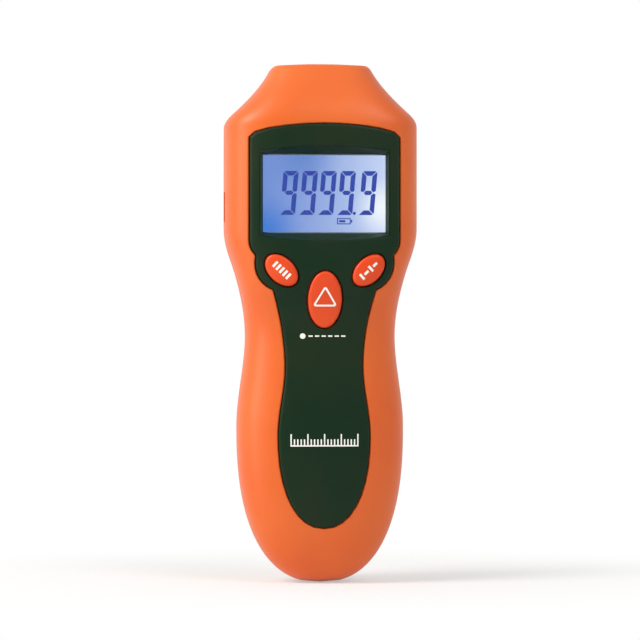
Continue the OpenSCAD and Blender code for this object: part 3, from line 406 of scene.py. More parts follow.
def moulded(name, code, aged, grain, relief, rough, spread, ior, level=0.5):
    """A moulded plastic or rubber with the mould's grain, in millimetres, and a faint drift of colour."""
    material, tree, shader, place = surface(name, {"IOR": ior, "Specular IOR Level": level})
    patches = add(tree, "ShaderNodeTexNoise", {"Vector": place, "Scale": per_metre(drift), "Detail": 2})
    share = add(tree, "ShaderNodeMapRange", {0: patches.outputs["Fac"], 1: 0.35, 2: 0.7})
    tone = add(tree, "ShaderNodeMix", {
        0: share.outputs[0], 6: colour(code), 7: colour(aged)}, data_type="RGBA")
    texture = add(tree, "ShaderNodeTexNoise", {"Vector": place, "Scale": per_metre(grain), "Detail": 3})
    shine = add(tree, "ShaderNodeMapRange", {
        0: texture.outputs["Fac"], 1: calm, 2: rugged, 3: rough - spread, 4: rough + spread})
    bump = add(tree, "ShaderNodeBump", {
        "Height": texture.outputs["Fac"], "Distance": relief * MM, "Strength": 0.6})
    tree.links.new(tone.outputs[2], shader.inputs["Base Color"])
    tree.links.new(shine.outputs[0], shader.inputs["Roughness"])
    tree.links.new(bump.outputs[0], shader.inputs["Normal"])
    return material


# ABS moulded in a finely eroded mould: an even satin orange, whose lights have soft edges. The grain of the
# mould is about 0.1 mm; it is drawn four times as coarse, so that it shows.
orange_abs = moulded(
    "orange_abs_moulded_satin", "#d95c14", "#db631b", 0.45, 0.012, 0.44, 0.05, 1.54, 0.45)


def arc(centre, radius, steps=40):
    """A round outline."""
    turn = np.arange(steps) * 2 * np.pi / steps
    return np.stack([centre[0] + radius * np.cos(turn), centre[1] + radius * np.sin(turn)], axis=1)


# Outline of the face panel: the wide part round the display, a lobe beside each upper key, and the tongue
panel_w = 46
panel_top_z = 140.5
panel_low_z = 17.3
panel_arc_r = 97
panel_corner_r = 6
panel_corner_z = 105
tongue_w = 28
tongue_z = 45.6
neck_w = 23.6
neck_z = 66.5
root_w = 30.4
root_z = 88.5
lobe_r = 8.6
lobe_at = (12.6, 98)
panel_gap = 0.25
panel_soft = 6
tongue_power = 2.2
root_power = 1.9


def round_half(z, low, r):
    """Half the width, at heights, of a round whose middle is at the height low."""
    return np.sqrt(np.maximum(0, r ** 2 - (z - low) ** 2))


def panel_half(z):
    """Half the panel's width at heights above the butt."""
    corner = round_half(np.minimum(z, panel_corner_z), panel_corner_z, panel_corner_r)
    corner += panel_w / 2 - panel_corner_r
    crown = round_half(z, panel_top_z - panel_arc_r, panel_arc_r)
    wide = np.maximum(0, soft_min(corner, crown, panel_soft))
    wide = np.where(z < panel_corner_z - panel_corner_r, 0, wide)
    lobe = lobe_at[0] + round_half(z, lobe_at[1], lobe_r)
    lobe = np.where(np.abs(z - lobe_at[1]) < lobe_r, lobe, 0)
    low = tongue_w / 2 * end_share((tongue_z - z) / (tongue_z - panel_low_z), tongue_power)
    middle = blend(tongue_w, neck_w, (z - tongue_z) / (neck_z - tongue_z)) / 2
    rise = np.maximum(0, z - neck_z) / (root_z - neck_z)
    root = neck_w / 2 + (root_w - neck_w) / 2 * rise ** root_power
    tongue = np.where(z < tongue_z, low, np.where(z < neck_z, middle, root))
    return np.maximum(np.maximum(wide, lobe), np.where(z < lobe_at[1], tongue, 0))


def eased(low, high, count, turned=False):
    """Heights from low to below high, which lie closer at the high end, or at the low end if turned."""
    angle = np.arange(count) / count * np.pi / 2
    return low + (high - low) * (1 - np.cos(angle) if turned else np.sin(angle))


lobe_low = lobe_at[1] - lobe_r
panel_z = np.concatenate([
    eased(panel_low_z, tongue_z, 9, True)[1:],
    tongue_z + (lobe_low - tongue_z) * np.arange(12) / 12,
    eased(lobe_low, lobe_at[1], 8, True),
    lobe_at[1] + (panel_corner_z - lobe_at[1]) * np.arange(8) / 8,
    eased(panel_corner_z, panel_top_z, 16)])
panel_right = np.stack([panel_half(panel_z), panel_z], axis=1)
panel_outline = np.vstack([
    [(0, panel_low_z)], panel_right, [(0, panel_top_z)], panel_right[::-1] * (-1, 1)])

FRONT, BACK = -1, 1
shell_edge = 0.45
parting_edge = 0.42
smooth_skin(
    "case_front", "front_shell", [(FRONT, panel_outline, panel_gap, shell_edge, shell_edge)],
    orange_abs, "body", seam=parting_edge)

# Outlines of the battery door, the wells of the case screws and the seat of the tripod insert
door_w = 34
door_top_z = 75
door_side_z = 23
door_corner_r = 4
door_lobe_r = 6.6
door_screw_at = (0, 14.5)
door_gap = 0.25
well_r = 3
well_places = [(x * side, z) for x, z in ((22.4, 139), (17.4, 80.5)) for side in (-1, 1)]
socket_at = (0, 105)
socket_seat_r = 6.1


def hull(places):
    """The convex outline round flat places, by their extreme points in each direction."""
    turns = np.linspace(0, 2 * np.pi, 360, endpoint=False)
    ways = np.stack([np.cos(turns), np.sin(turns)])
    index = np.argmax(places @ ways, axis=0)
    return places[index[index != np.roll(index, 1)]]


door_rounds = [arc(door_screw_at, door_lobe_r, 32)]
for door_side in (-1, 1):
    for door_round_z in (door_side_z, door_top_z - door_corner_r):
        door_rounds.append(arc((door_side * (door_w / 2 - door_corner_r), door_round_z), door_corner_r, 32))
door_outline = hull(np.vstack(door_rounds))
well_edges = [(BACK, arc(place, well_r), 0, 0.4, 0.3) for place in well_places]
smooth_skin(
    "case_back", "rear_shell",
    [(BACK, door_outline, door_gap, shell_edge, shell_edge),
     (BACK, arc(socket_at, socket_seat_r), 0, 0.3, 0.2)] + well_edges,
    orange_abs, "body", seam=parting_edge)

# Battery door
# A moulded door of the same ABS closes the battery bay. It hooks in at its top, one screw holds its foot,
# and moulded ribs under its top edge give the thumb a grip.
door_well_r = 2.2
smooth_skin(
    "battery_door_skin", "battery_door",
    [(BACK, door_outline, 0, shell_edge, shell_edge), (BACK, arc(door_screw_at, door_well_r), 0, 0.3, 0.25)],
    orange_abs, "battery_door")


def copying_tree(name, sizes):
    """A tree whose inputs are points, the sizes of what it puts on them and its material; and the inputs."""
    tree = bpy.data.node_groups.new(name, "GeometryNodeTree")
    tree.interface.new_socket("Geometry", in_out="INPUT", socket_type="NodeSocketGeometry")
    for size in sizes:
        tree.interface.new_socket(size, in_out="INPUT", socket_type="NodeSocketFloat")
    tree.interface.new_socket("Material", in_out="INPUT", socket_type="NodeSocketMaterial")
    tree.interface.new_socket("Geometry", in_out="OUTPUT", socket_type="NodeSocketGeometry")
    return tree, add(tree, "NodeGroupInput").outputs


def set_on_points(tree, entry, shape, **more):
    """The end of such a tree: the shape on each point, made real and given the material."""
    placed = add(tree, "GeometryNodeInstanceOnPoints", {
        "Points": entry["Geometry"], "Instance": shape.outputs[0], **more})
    real = add(tree, "GeometryNodeRealizeInstances", {0: placed.outputs[0]})
    done = add(tree, "GeometryNodeSetMaterial", {0: real.outputs[0], "Material": entry["Material"]})
    add(tree, "NodeGroupOutput", {0: done.outputs[0]})


rib_tree, rib_in = copying_tree("door ribs", ("Length", "Width", "Height"))
rib_half = add(rib_tree, "ShaderNodeMath", {0: rib_in["Length"], 1: 0.5}, operation="MULTIPLY").outputs[0]
rib_end = add(rib_tree, "ShaderNodeMath", {0: rib_half, 1: -1}, operation="MULTIPLY").outputs[0]
rib_line = add(rib_tree, "GeometryNodeCurvePrimitiveLine", {
    "Start": add(rib_tree, "ShaderNodeCombineXYZ", {"X": rib_end}).outputs[0],
    "End": add(rib_tree, "ShaderNodeCombineXYZ", {"X": rib_half}).outputs[0]})
rib_steps = add(rib_tree, "GeometryNodeResampleCurve", {"Curve": rib_line.outputs[0], "Count": 25})
rib_round = add(rib_tree, "GeometryNodeCurvePrimitiveCircle", {"Resolution": 12, "Radius": 1})
rib_mesh = add(rib_tree, "GeometryNodeCurveToMesh", {
    "Curve": rib_steps.outputs[0], "Profile Curve": rib_round.outputs[0], "Fill Caps": True})
# The round bar is flattened to the rib's width and height, and drawn in towards its ends.
rib_place = add(rib_tree, "GeometryNodeInputPosition").outputs[0]
rib_at = add(rib_tree, "ShaderNodeSeparateXYZ", {0: rib_place}).outputs
rib_run = add(rib_tree, "ShaderNodeMath", {0: rib_at["X"], 1: rib_half}, operation="DIVIDE").outputs[0]
rib_steep = add(rib_tree, "ShaderNodeMath", {0: rib_run, 1: 8}, operation="POWER").outputs[0]
rib_left = add(
    rib_tree, "ShaderNodeMath", {0: 1, 1: rib_steep}, operation="SUBTRACT", use_clamp=True).outputs[0]
rib_taper = add(rib_tree, "ShaderNodeMath", {0: rib_left, 1: 0.5}, operation="POWER").outputs[0]
rib_size = []
for rib_axis, rib_share, rib_name in (("Y", 1, "Height"), ("Z", 0.5, "Width")):
    rib_drawn = rib_in[rib_name]
    for rib_factor in (rib_share, rib_taper, rib_at[rib_axis]):
        rib_drawn = add(
            rib_tree, "ShaderNodeMath", {0: rib_drawn, 1: rib_factor}, operation="MULTIPLY").outputs[0]
    rib_size.append(rib_drawn)
rib_flat = add(rib_tree, "ShaderNodeCombineXYZ", {"X": rib_at["X"], "Y": rib_size[0], "Z": rib_size[1]})
rib_shape = add(rib_tree, "GeometryNodeSetPosition", {
    "Geometry": rib_mesh.outputs[0], "Position": rib_flat.outputs[0]})
set_on_points(rib_tree, rib_in, rib_shape)
# Copies are small, so that their edges turn sharp at a wider angle.
copy_sharp_from = math.radians(45)


def copies(name, tree, places, sizes, material, body, turns=None):
    """A tree's copies on places, in millimetres above the butt, as one plain mesh that rides on a body."""
    mesh = bpy.data.meshes.new(name)
    mesh.from_pydata(((np.array(places, dtype=float) - to_butt) * MM).tolist(), [], [])
    if turns is not None:
        mesh.attributes.new("turn", "FLOAT", "POINT").data.foreach_set("value", turns)
    piece = bpy.data.objects.new(name, mesh)
    bpy.context.scene.collection.objects.link(piece)
    maker = piece.modifiers.new("copies", "NODES")
    maker.node_group = tree
    for socket in tree.interface.items_tree:
        if socket.in_out == "INPUT" and socket.name in sizes:
            maker[socket.identifier] = sizes[socket.name] * MM
        elif socket.in_out == "INPUT" and socket.name == "Material":
            maker[socket.identifier] = material
    plain = bpy.data.meshes.new_from_object(piece.evaluated_get(bpy.context.evaluated_depsgraph_get()))
    piece.modifiers.clear()
    piece.data = plain
    plain.shade_smooth()
    plain.set_sharp_from_angle(angle=copy_sharp_from)
    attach(piece, body)


rib_z = [58.5 + 2.1 * step for step in range(6)]
copies(
    "battery_door_ribs", rib_tree, [(0, float(back_depth(np.array(z))) - 0.05, z) for z in rib_z],
    {"Length": 15, "Width": 1.1, "Height": 0.45}, orange_abs, "battery_door")

# Face panel
# One dark green moulding with a matte texture. It carries the sloping walls round the display, the holes of
# the keys and a rounded outer edge, and it stands a little proud of the case.
panel_proud = 0.3
key_gap = 0.45
side_key_at = (13.3, 95.9)
side_key_size = (11.6, 7.5)
side_key_tilt = 43
main_key_at = (0, 87)
main_key_size = (17.2, 10.3)
view_w = 36.9
view_h = 22.8
view_z = 119.3
recess_w = 39.6
recess_h = 25.9
recess_rise = 1.4
# ABS from a rougher mould: a nearly black matte green that mirrors almost nothing. The mould's texture is
# about 0.15 mm across; it is drawn three times as coarse, so that it shows.
dark_green_abs = moulded(
    "dark_green_abs_moulded_matte", "#0c2815", "#1b2a16", 0.5, 0.02, 0.44, 0.06, 1.54, 0.14)


def key_place(side):
    """A key's middle, length, width and turn; side is -1 or 1 for an upper key, 0 for the measuring key."""
    if side:
        return (side * side_key_at[0], side_key_at[1]), *side_key_size, math.radians(side * side_key_tilt)
    return main_key_at, *main_key_size, math.radians(90)


def laid(side, u, v):
    """Flat places that are given along and across a key, from its middle."""
    at, _, _, turn = key_place(side)
    return np.stack([
        at[0] + u * math.cos(turn) - v * math.sin(turn),
        at[1] + u * math.sin(turn) + v * math.cos(turn)], axis=1)


def key_ellipse(side, share=1, grow=0, steps=72):
    """Outline of a key, drawn in to a share of its size, or grown."""
    _, length, width, _ = key_place(side)
    angle = np.arange(steps) * 2 * np.pi / steps
    u = (length / 2 * share + grow) * np.cos(angle)
    v = (width / 2 * share + grow) * np.sin(angle)
    return laid(side, u, v)


recess_run = np.linspace(1, -1, 21)
recess_half = recess_h / 2 + recess_rise * (1 - recess_run ** 2)
recess_top = np.stack([recess_w / 2 * recess_run, view_z + recess_half], axis=1)
recess_foot = np.stack([-recess_w / 2 * recess_run, view_z - recess_half], axis=1)
hole_edges = [(FRONT, key_ellipse(side, grow=key_gap, steps=40), 0, 0.45, 0.35) for side in (-1, 0, 1)]
smooth_skin(
    "face_panel_skin", "face_panel",
    [(FRONT, panel_outline, 0, 0.9, 0.55),
     (FRONT, np.vstack([recess_top, recess_foot]), 0, 0.5, 0.35)] + hole_edges,
    dark_green_abs, "body", proud=panel_proud, fine=0.28)


def front_level(x, z, proud=0):
    """How far the face of the body, grown by proud, lies in front of the parting plane."""
    power = front_power(z)
    share = np.clip(np.abs(x) / (half_width(z) + proud), 0, 1)
    return (front_depth(z) + proud) * (1 - share ** power) ** (1 / power)


def stamped(name, shapes, front, back, material, body, size=0.8):
    """A thin flat shape between two levels in front of the parting plane, both functions of x and height.

    Each shape is an outline of x and height, followed by the outlines of its holes."""
    points, faces = [], []
    start = 0
    for shape in shapes:
        loops = [[Vector((x, z, 0)) for x, z in loop] for loop in shape]
        faces += [[start + corner for corner in face] for face in tessellate_polygon(loops)]
        points += [(x, 0, z) for loop in shape for x, z in loop]
        start = len(points)
    points, faces = np.array(points, dtype=float), np.array(faces)
    a, b, c = points[faces].transpose(1, 0, 2)
    turned = np.cross(b - a, c - a)[:, 1] > 0
    faces[turned] = faces[turned][:, ::-1]
    for _ in range(4):
        chosen = np.ones(len(faces), dtype=bool)
        points, faces, _ = split_edges(points, faces, chosen, lambda middles: np.full(len(middles), size))
    sides = np.stack([faces, np.roll(faces, -1, axis=1)], axis=2).reshape(-1, 2)
    known = set(map(tuple, sides.tolist()))
    rim = np.array([(a, b) for a, b in sides.tolist() if (b, a) not in known])
    count = len(points)
    near, far = points.copy(), points.copy()
    near[:, 1] = -front(points[:, 0], points[:, 2])
    far[:, 1] = -back(points[:, 0], points[:, 2])
    walls = np.vstack([
        np.stack([rim[:, 1], rim[:, 0], rim[:, 0] + count], axis=1),
        np.stack([rim[:, 1], rim[:, 0] + count, rim[:, 1] + count], axis=1)])
    solid = np.vstack([faces, faces[:, ::-1] + count, walls])
    mesh_piece(name, np.vstack([near, far]), solid, material, body, ())


# Print on the face panel
# White ink laid on by pad printing, a few hundredths of a millimetre thick: a plain beam sign under the
# measuring key and a plain scale with ticks lower down, where instruments of this kind are printed.
ink_t = 0.04
# Pad-printed ink: dense matte white with a slight unevenness.
white_ink = moulded("white_ink_printed_matte", "#f1f2ec", "#e4e6de", 0.3, 0.004, 0.5, 0.06, 1.5)


def bar(x, z, w, h):
    """A rectangle's outline round its centre."""
    return [(x - w / 2, z - h / 2), (x + w / 2, z - h / 2), (x + w / 2, z + h / 2), (x - w / 2, z + h / 2)]


beam_z = 75.9
beam_dot_x = -6.6
beam_marks = [[arc((beam_dot_x, beam_z), 0.85, 24)]] + [
    [bar(beam_dot_x + 2.4 + 2 * step, beam_z, 1.3, 0.45)] for step in range(6)]
scale_z = 44.4
scale_w = 20.4
scale_base_z = scale_z - 1.7
line_w = 0.4
scale_marks = [[bar(0, scale_base_z - line_w / 2, scale_w + line_w, line_w)]]
for step in range(21):
    tick_h = 3.4 if step % 5 == 0 else 1.8
    scale_marks.append([bar(scale_w * (step / 20 - 0.5), scale_base_z + tick_h / 2, line_w, tick_h)])
for print_name, print_marks in (("print_beam", beam_marks), ("print_scale", scale_marks)):
    stamped(
        print_name, print_marks, lambda x, z: front_level(x, z, panel_proud) + ink_t,
        lambda x, z: front_level(x, z, panel_proud) - ink_t, white_ink, "body")

# Display window
# A flat pane of clear acrylic at the foot of the recess keeps dust and fingers off the display. The two
# lenses of the optics are of the same acrylic.

# Polished acrylic: clear and smooth, with only a faint mirrored light.
clear_pmma = surface("clear_pmma_polished", {
    "Base Color": colour("#fbfdff"), "IOR": 1.49, "Transmission Weight": 1, "Roughness": 0.02,
    "Specular IOR Level": 0.1})[0]


def dressed(material, slot, *nodes):
    """Gives CAD nodes their finish."""
    for name in nodes:
        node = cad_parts[name]
        if not node.material_slots:
            node.data.materials.append(material)
        for place in node.material_slots:
            place.material = material


dressed(clear_pmma, "clear_pmma", "lcd_window", "laser_lens", "receiver_lens")

# Display
# A liquid crystal cell of two glass panes between two films. A light guide with a blue lamp at its left end
# lights it from behind; the front film is given that blue glow here, with a painted reflection paling its
# right end. The dark blue segments lie just in front of the film, where the real ones lie between the panes.
film_y = 15.6
lit_share = 1
# Matte film over a lit guide: a cool glow with a slight grain and no sharp mirrored light; its paler right
# end is painted reflection.
lit_film, film_tree, film_shader, film_at = surface("polariser_film_backlit_painted_reflection", {
    "Base Color": colour("#0c1c3c"), "Roughness": 0.28, "IOR": 1.49, "Specular IOR Level": 0.2,
    "Emission Strength": lit_share})
left_x, right_x = -view_w / 2 * MM, view_w / 2 * MM
low_z = (view_z - view_h / 2 - to_butt[2]) * MM
high_z = (view_z + view_h / 2 - to_butt[2]) * MM
film_place = add(film_tree, "ShaderNodeSeparateXYZ", {0: film_at}).outputs
across = add(film_tree, "ShaderNodeMapRange", {0: film_place["X"], 1: left_x, 2: right_x}).outputs[0]
# The blue pales to near white towards the right end: a painted reflection in the film's glow.
reflection_paling = add(film_tree, "ShaderNodeMath", {0: across, 1: 1.5}, operation="POWER").outputs[0]
glow_and_reflection = add(film_tree, "ShaderNodeMix", {
    0: reflection_paling, 6: colour("#6a8cd2"), 7: colour("#c6d6f4")}, data_type="RGBA").outputs[2]
# The lamp's own blue shows at the lower left corner, and a painted reflection, nearly white, at the lower
# right.
for spot_x, spot_z, spot_reach, spot_code, spot_share in (
        (left_x, low_z, 13, "#1a72d0", 0.95), (right_x, low_z + 7 * MM, 11, "#fafdff", 0.95),
        (left_x + 12 * MM, high_z, 13, "#4f7ac6", 0.75)):
    spot_off = add(film_tree, "ShaderNodeVectorMath", {
        0: film_at, 1: (spot_x, (-film_y - to_butt[1]) * MM, spot_z)}, operation="DISTANCE").outputs["Value"]
    spot = add(film_tree, "ShaderNodeMapRange", {
        0: spot_off, 1: spot_reach * MM, 2: 0, 3: 0, 4: spot_share}, interpolation_type="SMOOTHSTEP")
    glow_and_reflection = add(film_tree, "ShaderNodeMix", {
        0: spot.outputs[0], 6: glow_and_reflection, 7: colour(spot_code)}, data_type="RGBA").outputs[2]
film_grain = add(film_tree, "ShaderNodeTexNoise", {"Vector": film_at, "Scale": per_metre(0.9), "Detail": 2})
film_dim = add(film_tree, "ShaderNodeMapRange", {0: film_grain.outputs["Fac"], 3: 0.94, 4: 1.04})
film_light = add(film_tree, "ShaderNodeVectorMath", {
    0: glow_and_reflection, "Scale": film_dim.outputs[0]}, operation="SCALE")
film_tree.links.new(film_light.outputs[0], film_shader.inputs["Emission Color"])
dressed(lit_film, "polariser_film", "lcd_polarisers")

digit_w = 4.65
digit_h = 13.4
digit_t = 1.42
digit_slant = math.tan(math.radians(5))
digit_left = (-13.6, -7.7, -1.93, 3.91, 10.5)
digit_low_z = 112.8
point_at = (9.2, 113.3)
segment_gap = 0.14
segment_t = 0.03


def digit_segments():
    """Outlines of the segments of a nine: upper left, upper right, lower right, top, middle and bottom."""
    w, h, t, g = digit_w, digit_h, digit_t, segment_gap
    middle, cant = h / 2, 0.45
    top = [(cant + g, h), (w - cant - g, h), (w - cant / 2 - g, h - cant / 2), (w - t - g, h - t),
           (t + g, h - t), (cant / 2 + g, h - cant / 2)]
    upper = [(0, h - cant - g), (cant / 2, h - cant / 2 - g), (t, h - t - g), (t, middle + 0.9),
             (t * 0.55, middle + 0.25), (0, middle + 0.6)]
    lower = [(w, middle - 0.35), (w - t * 0.45, middle - 0.05), (w - t, middle - 0.75), (w - t, t + g),
             (w - cant / 2, cant / 2 + g), (w, cant + g)]
    centre = [(t * 0.6 + g, middle + 0.1), (t + g, middle + 0.7), (w - t - g, middle + 0.7),
              (w - t * 0.6 - g, middle + 0.1), (w - t - g, middle - 0.6), (t + g, middle - 0.6)]
    bottom = [(0.1, 0), (w - cant - g, 0), (w - cant / 2 - g, cant / 2), (w - t - g, t), (t, t)]
    return [upper, [(w - x, z) for x, z in upper][::-1], lower, top, centre, bottom]


segment_shapes = [
    [[(left + x + z * digit_slant, digit_low_z + z) for x, z in segment]]
    for left in digit_left for segment in digit_segments()]
segment_shapes.append([arc(point_at, 0.48, 20)])
# A plain sign of a battery with one bar in it, under the digits
sign_at = (6.0, 110.9)
sign_w, sign_h = 4.2, 1.9
segment_shapes += [
    [bar(*sign_at, sign_w, sign_h), bar(*sign_at, sign_w - 0.6, sign_h - 0.6)[::-1]],
    [bar(sign_at[0] + sign_w / 2 + 0.25, sign_at[1], 0.4, 0.9)],
    [bar(sign_at[0] - 0.5, sign_at[1], 1.9, 0.7)]]
# Driven liquid crystal: a deep, slightly uneven blue that the backlight shows through.
segment_blue, segment_tree, segment_shader, segment_at = surface("liquid_crystal_driven", {
    "Base Color": colour("#0a1440"), "Roughness": 0.3, "IOR": 1.5, "Specular IOR Level": 0.1,
    "Emission Strength": lit_share})
segment_tone = add(segment_tree, "ShaderNodeTexNoise", {"Vector": segment_at, "Scale": per_metre(1.2)})
segment_light = add(segment_tree, "ShaderNodeMix", {
    0: segment_tone.outputs["Fac"], 6: colour("#002e96"), 7: colour("#0436a2")}, data_type="RGBA")
segment_tree.links.new(segment_light.outputs[2], segment_shader.inputs["Emission Color"])
stamped(
    "display_segments", segment_shapes, lambda x, z: np.full(len(x), film_y + segment_t),
    lambda x, z: np.full(len(x), film_y + 0.002), segment_blue, "body", size=3)

# Panes, light guide, lamp, contact strip and frame of the display
# The panes are thin soda glass, the guide is clear acrylic printed with dots, and a white frame holds them.
# The strip under the panes is silicone in fine carbon and clear layers, and joins them to the board.

# Polished soda glass: clear, with the faint green of its edges.
lcd_glass = surface("soda_glass_polished", {
    "Base Color": colour("#e6f2f0"), "IOR": 1.52, "Transmission Weight": 1, "Roughness": 0.01,
    "Specular IOR Level": 0.25})[0]
dressed(lcd_glass, "lcd_glass", "lcd_panes")
# White ABS: even and slightly warm, with a soft sheen.
white_abs = moulded("white_abs_moulded", "#e9e9e4", "#dfdfd8", 0.5, 0.008, 0.42, 0.05, 1.54)
dressed(white_abs, "white_abs", "lcd_frame")
# Clear acrylic with printed dots: cloudy where the dots are, 1 mm apart.
guide_pmma, guide_tree, guide_shader, guide_at = surface("clear_pmma_with_dots", {
    "Roughness": 0.08, "IOR": 1.49, "Transmission Weight": 0.7})
guide_dots = add(guide_tree, "ShaderNodeTexVoronoi", {
    "Vector": guide_at, "Scale": per_metre(1), "Randomness": 0})
guide_share = add(guide_tree, "ShaderNodeMapRange", {0: guide_dots.outputs["Distance"], 1: 0.3, 2: 0.36})
guide_tone = add(guide_tree, "ShaderNodeMix", {
    0: guide_share.outputs[0], 6: colour("#ffffff"), 7: colour("#dfeaff")}, data_type="RGBA")
guide_tree.links.new(guide_tone.outputs[2], guide_shader.inputs["Base Color"])
dressed(guide_pmma, "clear_pmma", "light_guide")
# Cast resin of the lamp: milky and slightly glossy.
led_resin = moulded("white_led_resin", "#f4f4dc", "#e6e9f4", 0.8, 0.006, 0.3, 0.04, 1.53)
dressed(led_resin, "led_package", "backlight_led")
# Layered silicone, clear pink and black with carbon: fine matte bands. The layers are 0.1 mm thick; they are
# drawn at 0.4 mm, so that they show.
strip_rubber, strip_tree, strip_shader, strip_at = surface("zebra_silicone", {"Roughness": 0.6, "IOR": 1.43})
strip_bands = add(strip_tree, "ShaderNodeTexWave", {
    "Vector": strip_at, "Scale": per_metre(0.4) / 20, "Distortion": 0}, bands_direction="X")
strip_tone = add(strip_tree, "ShaderNodeMix", {
    0: strip_bands.outputs["Fac"], 6: colour("#c8588c"), 7: colour("#26242a")}, data_type="RGBA")
strip_tree.links.new(strip_tone.outputs[2], strip_shader.inputs["Base Color"])
dressed(strip_rubber, "zebra_rubber", "contact_strip")

# Keys
# Soft orange silicone, each moulded with its flange, which the panel holds down, and a plunger behind it. The
# caps follow the face with a slight crown and a rounded edge, and stand about a millimetre proud.
key_proud = 1
key_crown = 0.3
key_round = 0.9
key_drop = 0.65
key_flange = 1
flange_inset = 2.3
key_base_y = 12.6
plunger_r = 2.3
plunger_y = 10.45
# Moulded silicone: a deeper, redder orange than the case, with a soft satin sheen and hardly any grain.
orange_silicone = moulded(
    "orange_silicone_moulded_satin", "#dc4412", "#de4c1a", 0.35, 0.006, 0.38, 0.05, 1.43, 0.4)


def key_top(side, x, z):
    """How far a key's cap lies in front of the parting plane."""
    at, length, width, turn = key_place(side)
    u = (x - at[0]) * math.cos(turn) + (z - at[1]) * math.sin(turn)
    v = (z - at[1]) * math.cos(turn) - (x - at[0]) * math.sin(turn)
    share = np.clip(np.hypot(u / length * 2, v / width * 2), 0, 1)
    distance, _ = from_outline(np.stack([x, z], axis=1), key_ellipse(side))
    edge = np.clip(1 - distance / key_round, 0, 1)
    return front_level(x, z, key_proud) - key_crown * share ** 2 - key_drop * (1 - np.sqrt(1 - edge ** 2))


def ring_stack(rings, ends):
    """Points and triangles of a closed skin over rings of points, from one end point to the other."""
    steps = len(rings[0])
    first = np.arange(steps)
    after = (first + 1) % steps
    faces = []
    for low in range(0, (len(rings) - 1) * steps, steps):
        high = low + steps
        faces += [np.column_stack([low + first, high + first, low + after]),
                  np.column_stack([low + after, high + first, high + after])]
    count = len(rings) * steps
    last = count - steps
    faces += [np.column_stack([first, after, np.full(steps, count)]),
              np.column_stack([last + after, last + first, np.full(steps, count + 1)])]
    return np.vstack([*rings, ends]), np.vstack(faces)


cap_shares = (0.06, 0.2, 0.34, 0.48, 0.6, 0.7, 0.78, 0.84, 0.89, 0.93, 0.96, 0.98, 0.993, 1)


def key_cap(side, name, joint_body):
    """A key from its cap back to its plunger, as rings of points."""
    at, _, _, turn = key_place(side)
    levels = []
    for share in cap_shares:
        flat = key_ellipse(side, share)
        levels.append((flat, key_top(side, *flat.T)))
    for grow in (0, key_flange):
        flat = key_ellipse(side, grow=grow)
        levels.append((flat, front_level(*flat.T, -flange_inset)))
    # The plunger's first point is turned to the key's long axis, where the outlines begin.
    plunger = np.roll(arc(at, plunger_r, 72), -round(math.degrees(turn) / 5), axis=0)
    levels += [(flat, key_base_y), (plunger, key_base_y), (plunger, plunger_y)]
    rings = []
    for flat, level in levels:
        rings.append(np.column_stack([flat[:, 0], np.broadcast_to(-level, len(flat)), flat[:, 1]]))
    top = float(key_top(side, *np.array([at]).T)[0])
    points, faces = ring_stack(rings, [(at[0], -top, at[1]), (at[0], -plunger_y, at[1])])
    mesh_piece(name, points, faces, orange_silicone, joint_body, (joint_body,))


key_cap(-1, "left_key_cap", "left_key")
key_cap(1, "right_key_cap", "right_key")
key_cap(0, "main_key_cap", "main_key")

# Print on the keys
# White ink on the silicone: a row of upright bars on the left key, short upright and long lying bars by
# turns on the right one, and a plain rounded triangle on the measuring key.


def rounded_triangle(at, half, height, radius, steps=6):
    """A triangle's outline with its base below, and with rounded corners."""
    corners = np.array([(at[0] - half, at[1]), (at[0] + half, at[1]), (at[0], at[1] + height)])
    middle = corners.mean(axis=0)
    places = []
    for k in range(3):
        before, here, after = corners[k - 1], corners[k], corners[(k + 1) % 3]
        enter = (before - here) / np.linalg.norm(before - here)
        leave = (after - here) / np.linalg.norm(after - here)
        half_turn = math.acos(float(enter @ leave)) / 2
        centre = here + (enter + leave) / np.linalg.norm(enter + leave) * radius / math.sin(half_turn)
        one = here + enter * radius / math.tan(half_turn) - centre
        two = here + leave * radius / math.tan(half_turn) - centre
        for step in range(steps + 1):
            way = one * (1 - step / steps) + two * step / steps
            places.append(tuple(centre + way / np.linalg.norm(way) * radius))
    return places


triangle_half = 3.85
triangle_h = 6.4
triangle_line = 0.55
triangle_z = 84.9
# The inner outline lies a line's width inside the outer one.
inner_half = triangle_half - 1.72 * triangle_line
inner_h = triangle_h - 2.9 * triangle_line
triangle_marks = [[
    rounded_triangle((0, triangle_z), triangle_half, triangle_h, 0.6),
    rounded_triangle((0, triangle_z + triangle_line), inner_half, inner_h, 0.25)[::-1]]]
bar_t = 0.75
left_bars = [bar(-2.7 + 1.35 * step, 0, bar_t, 2.1) for step in range(5)]
right_bars = [bar(u, 0, bar_t, 2.1) for u in (-2.9, 0.7)] + [bar(u, 0, 1.6, bar_t) for u in (-1.1, 2.5)]
left_marks = [[laid(-1, *np.array(outline).T)] for outline in left_bars]
right_marks = [[laid(1, *np.array(outline).T)] for outline in right_bars]
for key_side, key_name, key_marks in (
        (-1, "left_key", left_marks), (1, "right_key", right_marks), (0, "main_key", triangle_marks)):
    stamped(
        "print_" + key_name, key_marks, lambda x, z: key_top(key_side, x, z) + ink_t,
        lambda x, z: key_top(key_side, x, z) - ink_t, white_ink, key_name, size=0.6)

# Bells, carbon pills and mat of the keypad
# Thin silicone bells spring the keys back and fold as the keys go down, so they flatten towards the mat. The
# carbon pills close the contacts on the board.
# Moulded silicone, filled dark grey: matte and slightly dusty.
dark_silicone = moulded(
    "dark_silicone_moulded_matte", "#3f3f44", "#4a4a4e", 0.4, 0.006, 0.55, 0.06, 1.43)
for key_name in ("left_key", "right_key", "main_key"):
    bell_points, bell_faces = node_mesh(key_name + "_bell")
    bell = mesh_piece(
        key_name + "_bell_skin", bell_points, bell_faces, dark_silicone, "body", (key_name + "_bell",))
    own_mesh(bell)
dressed(dark_silicone, "dark_silicone", "keypad_mat")
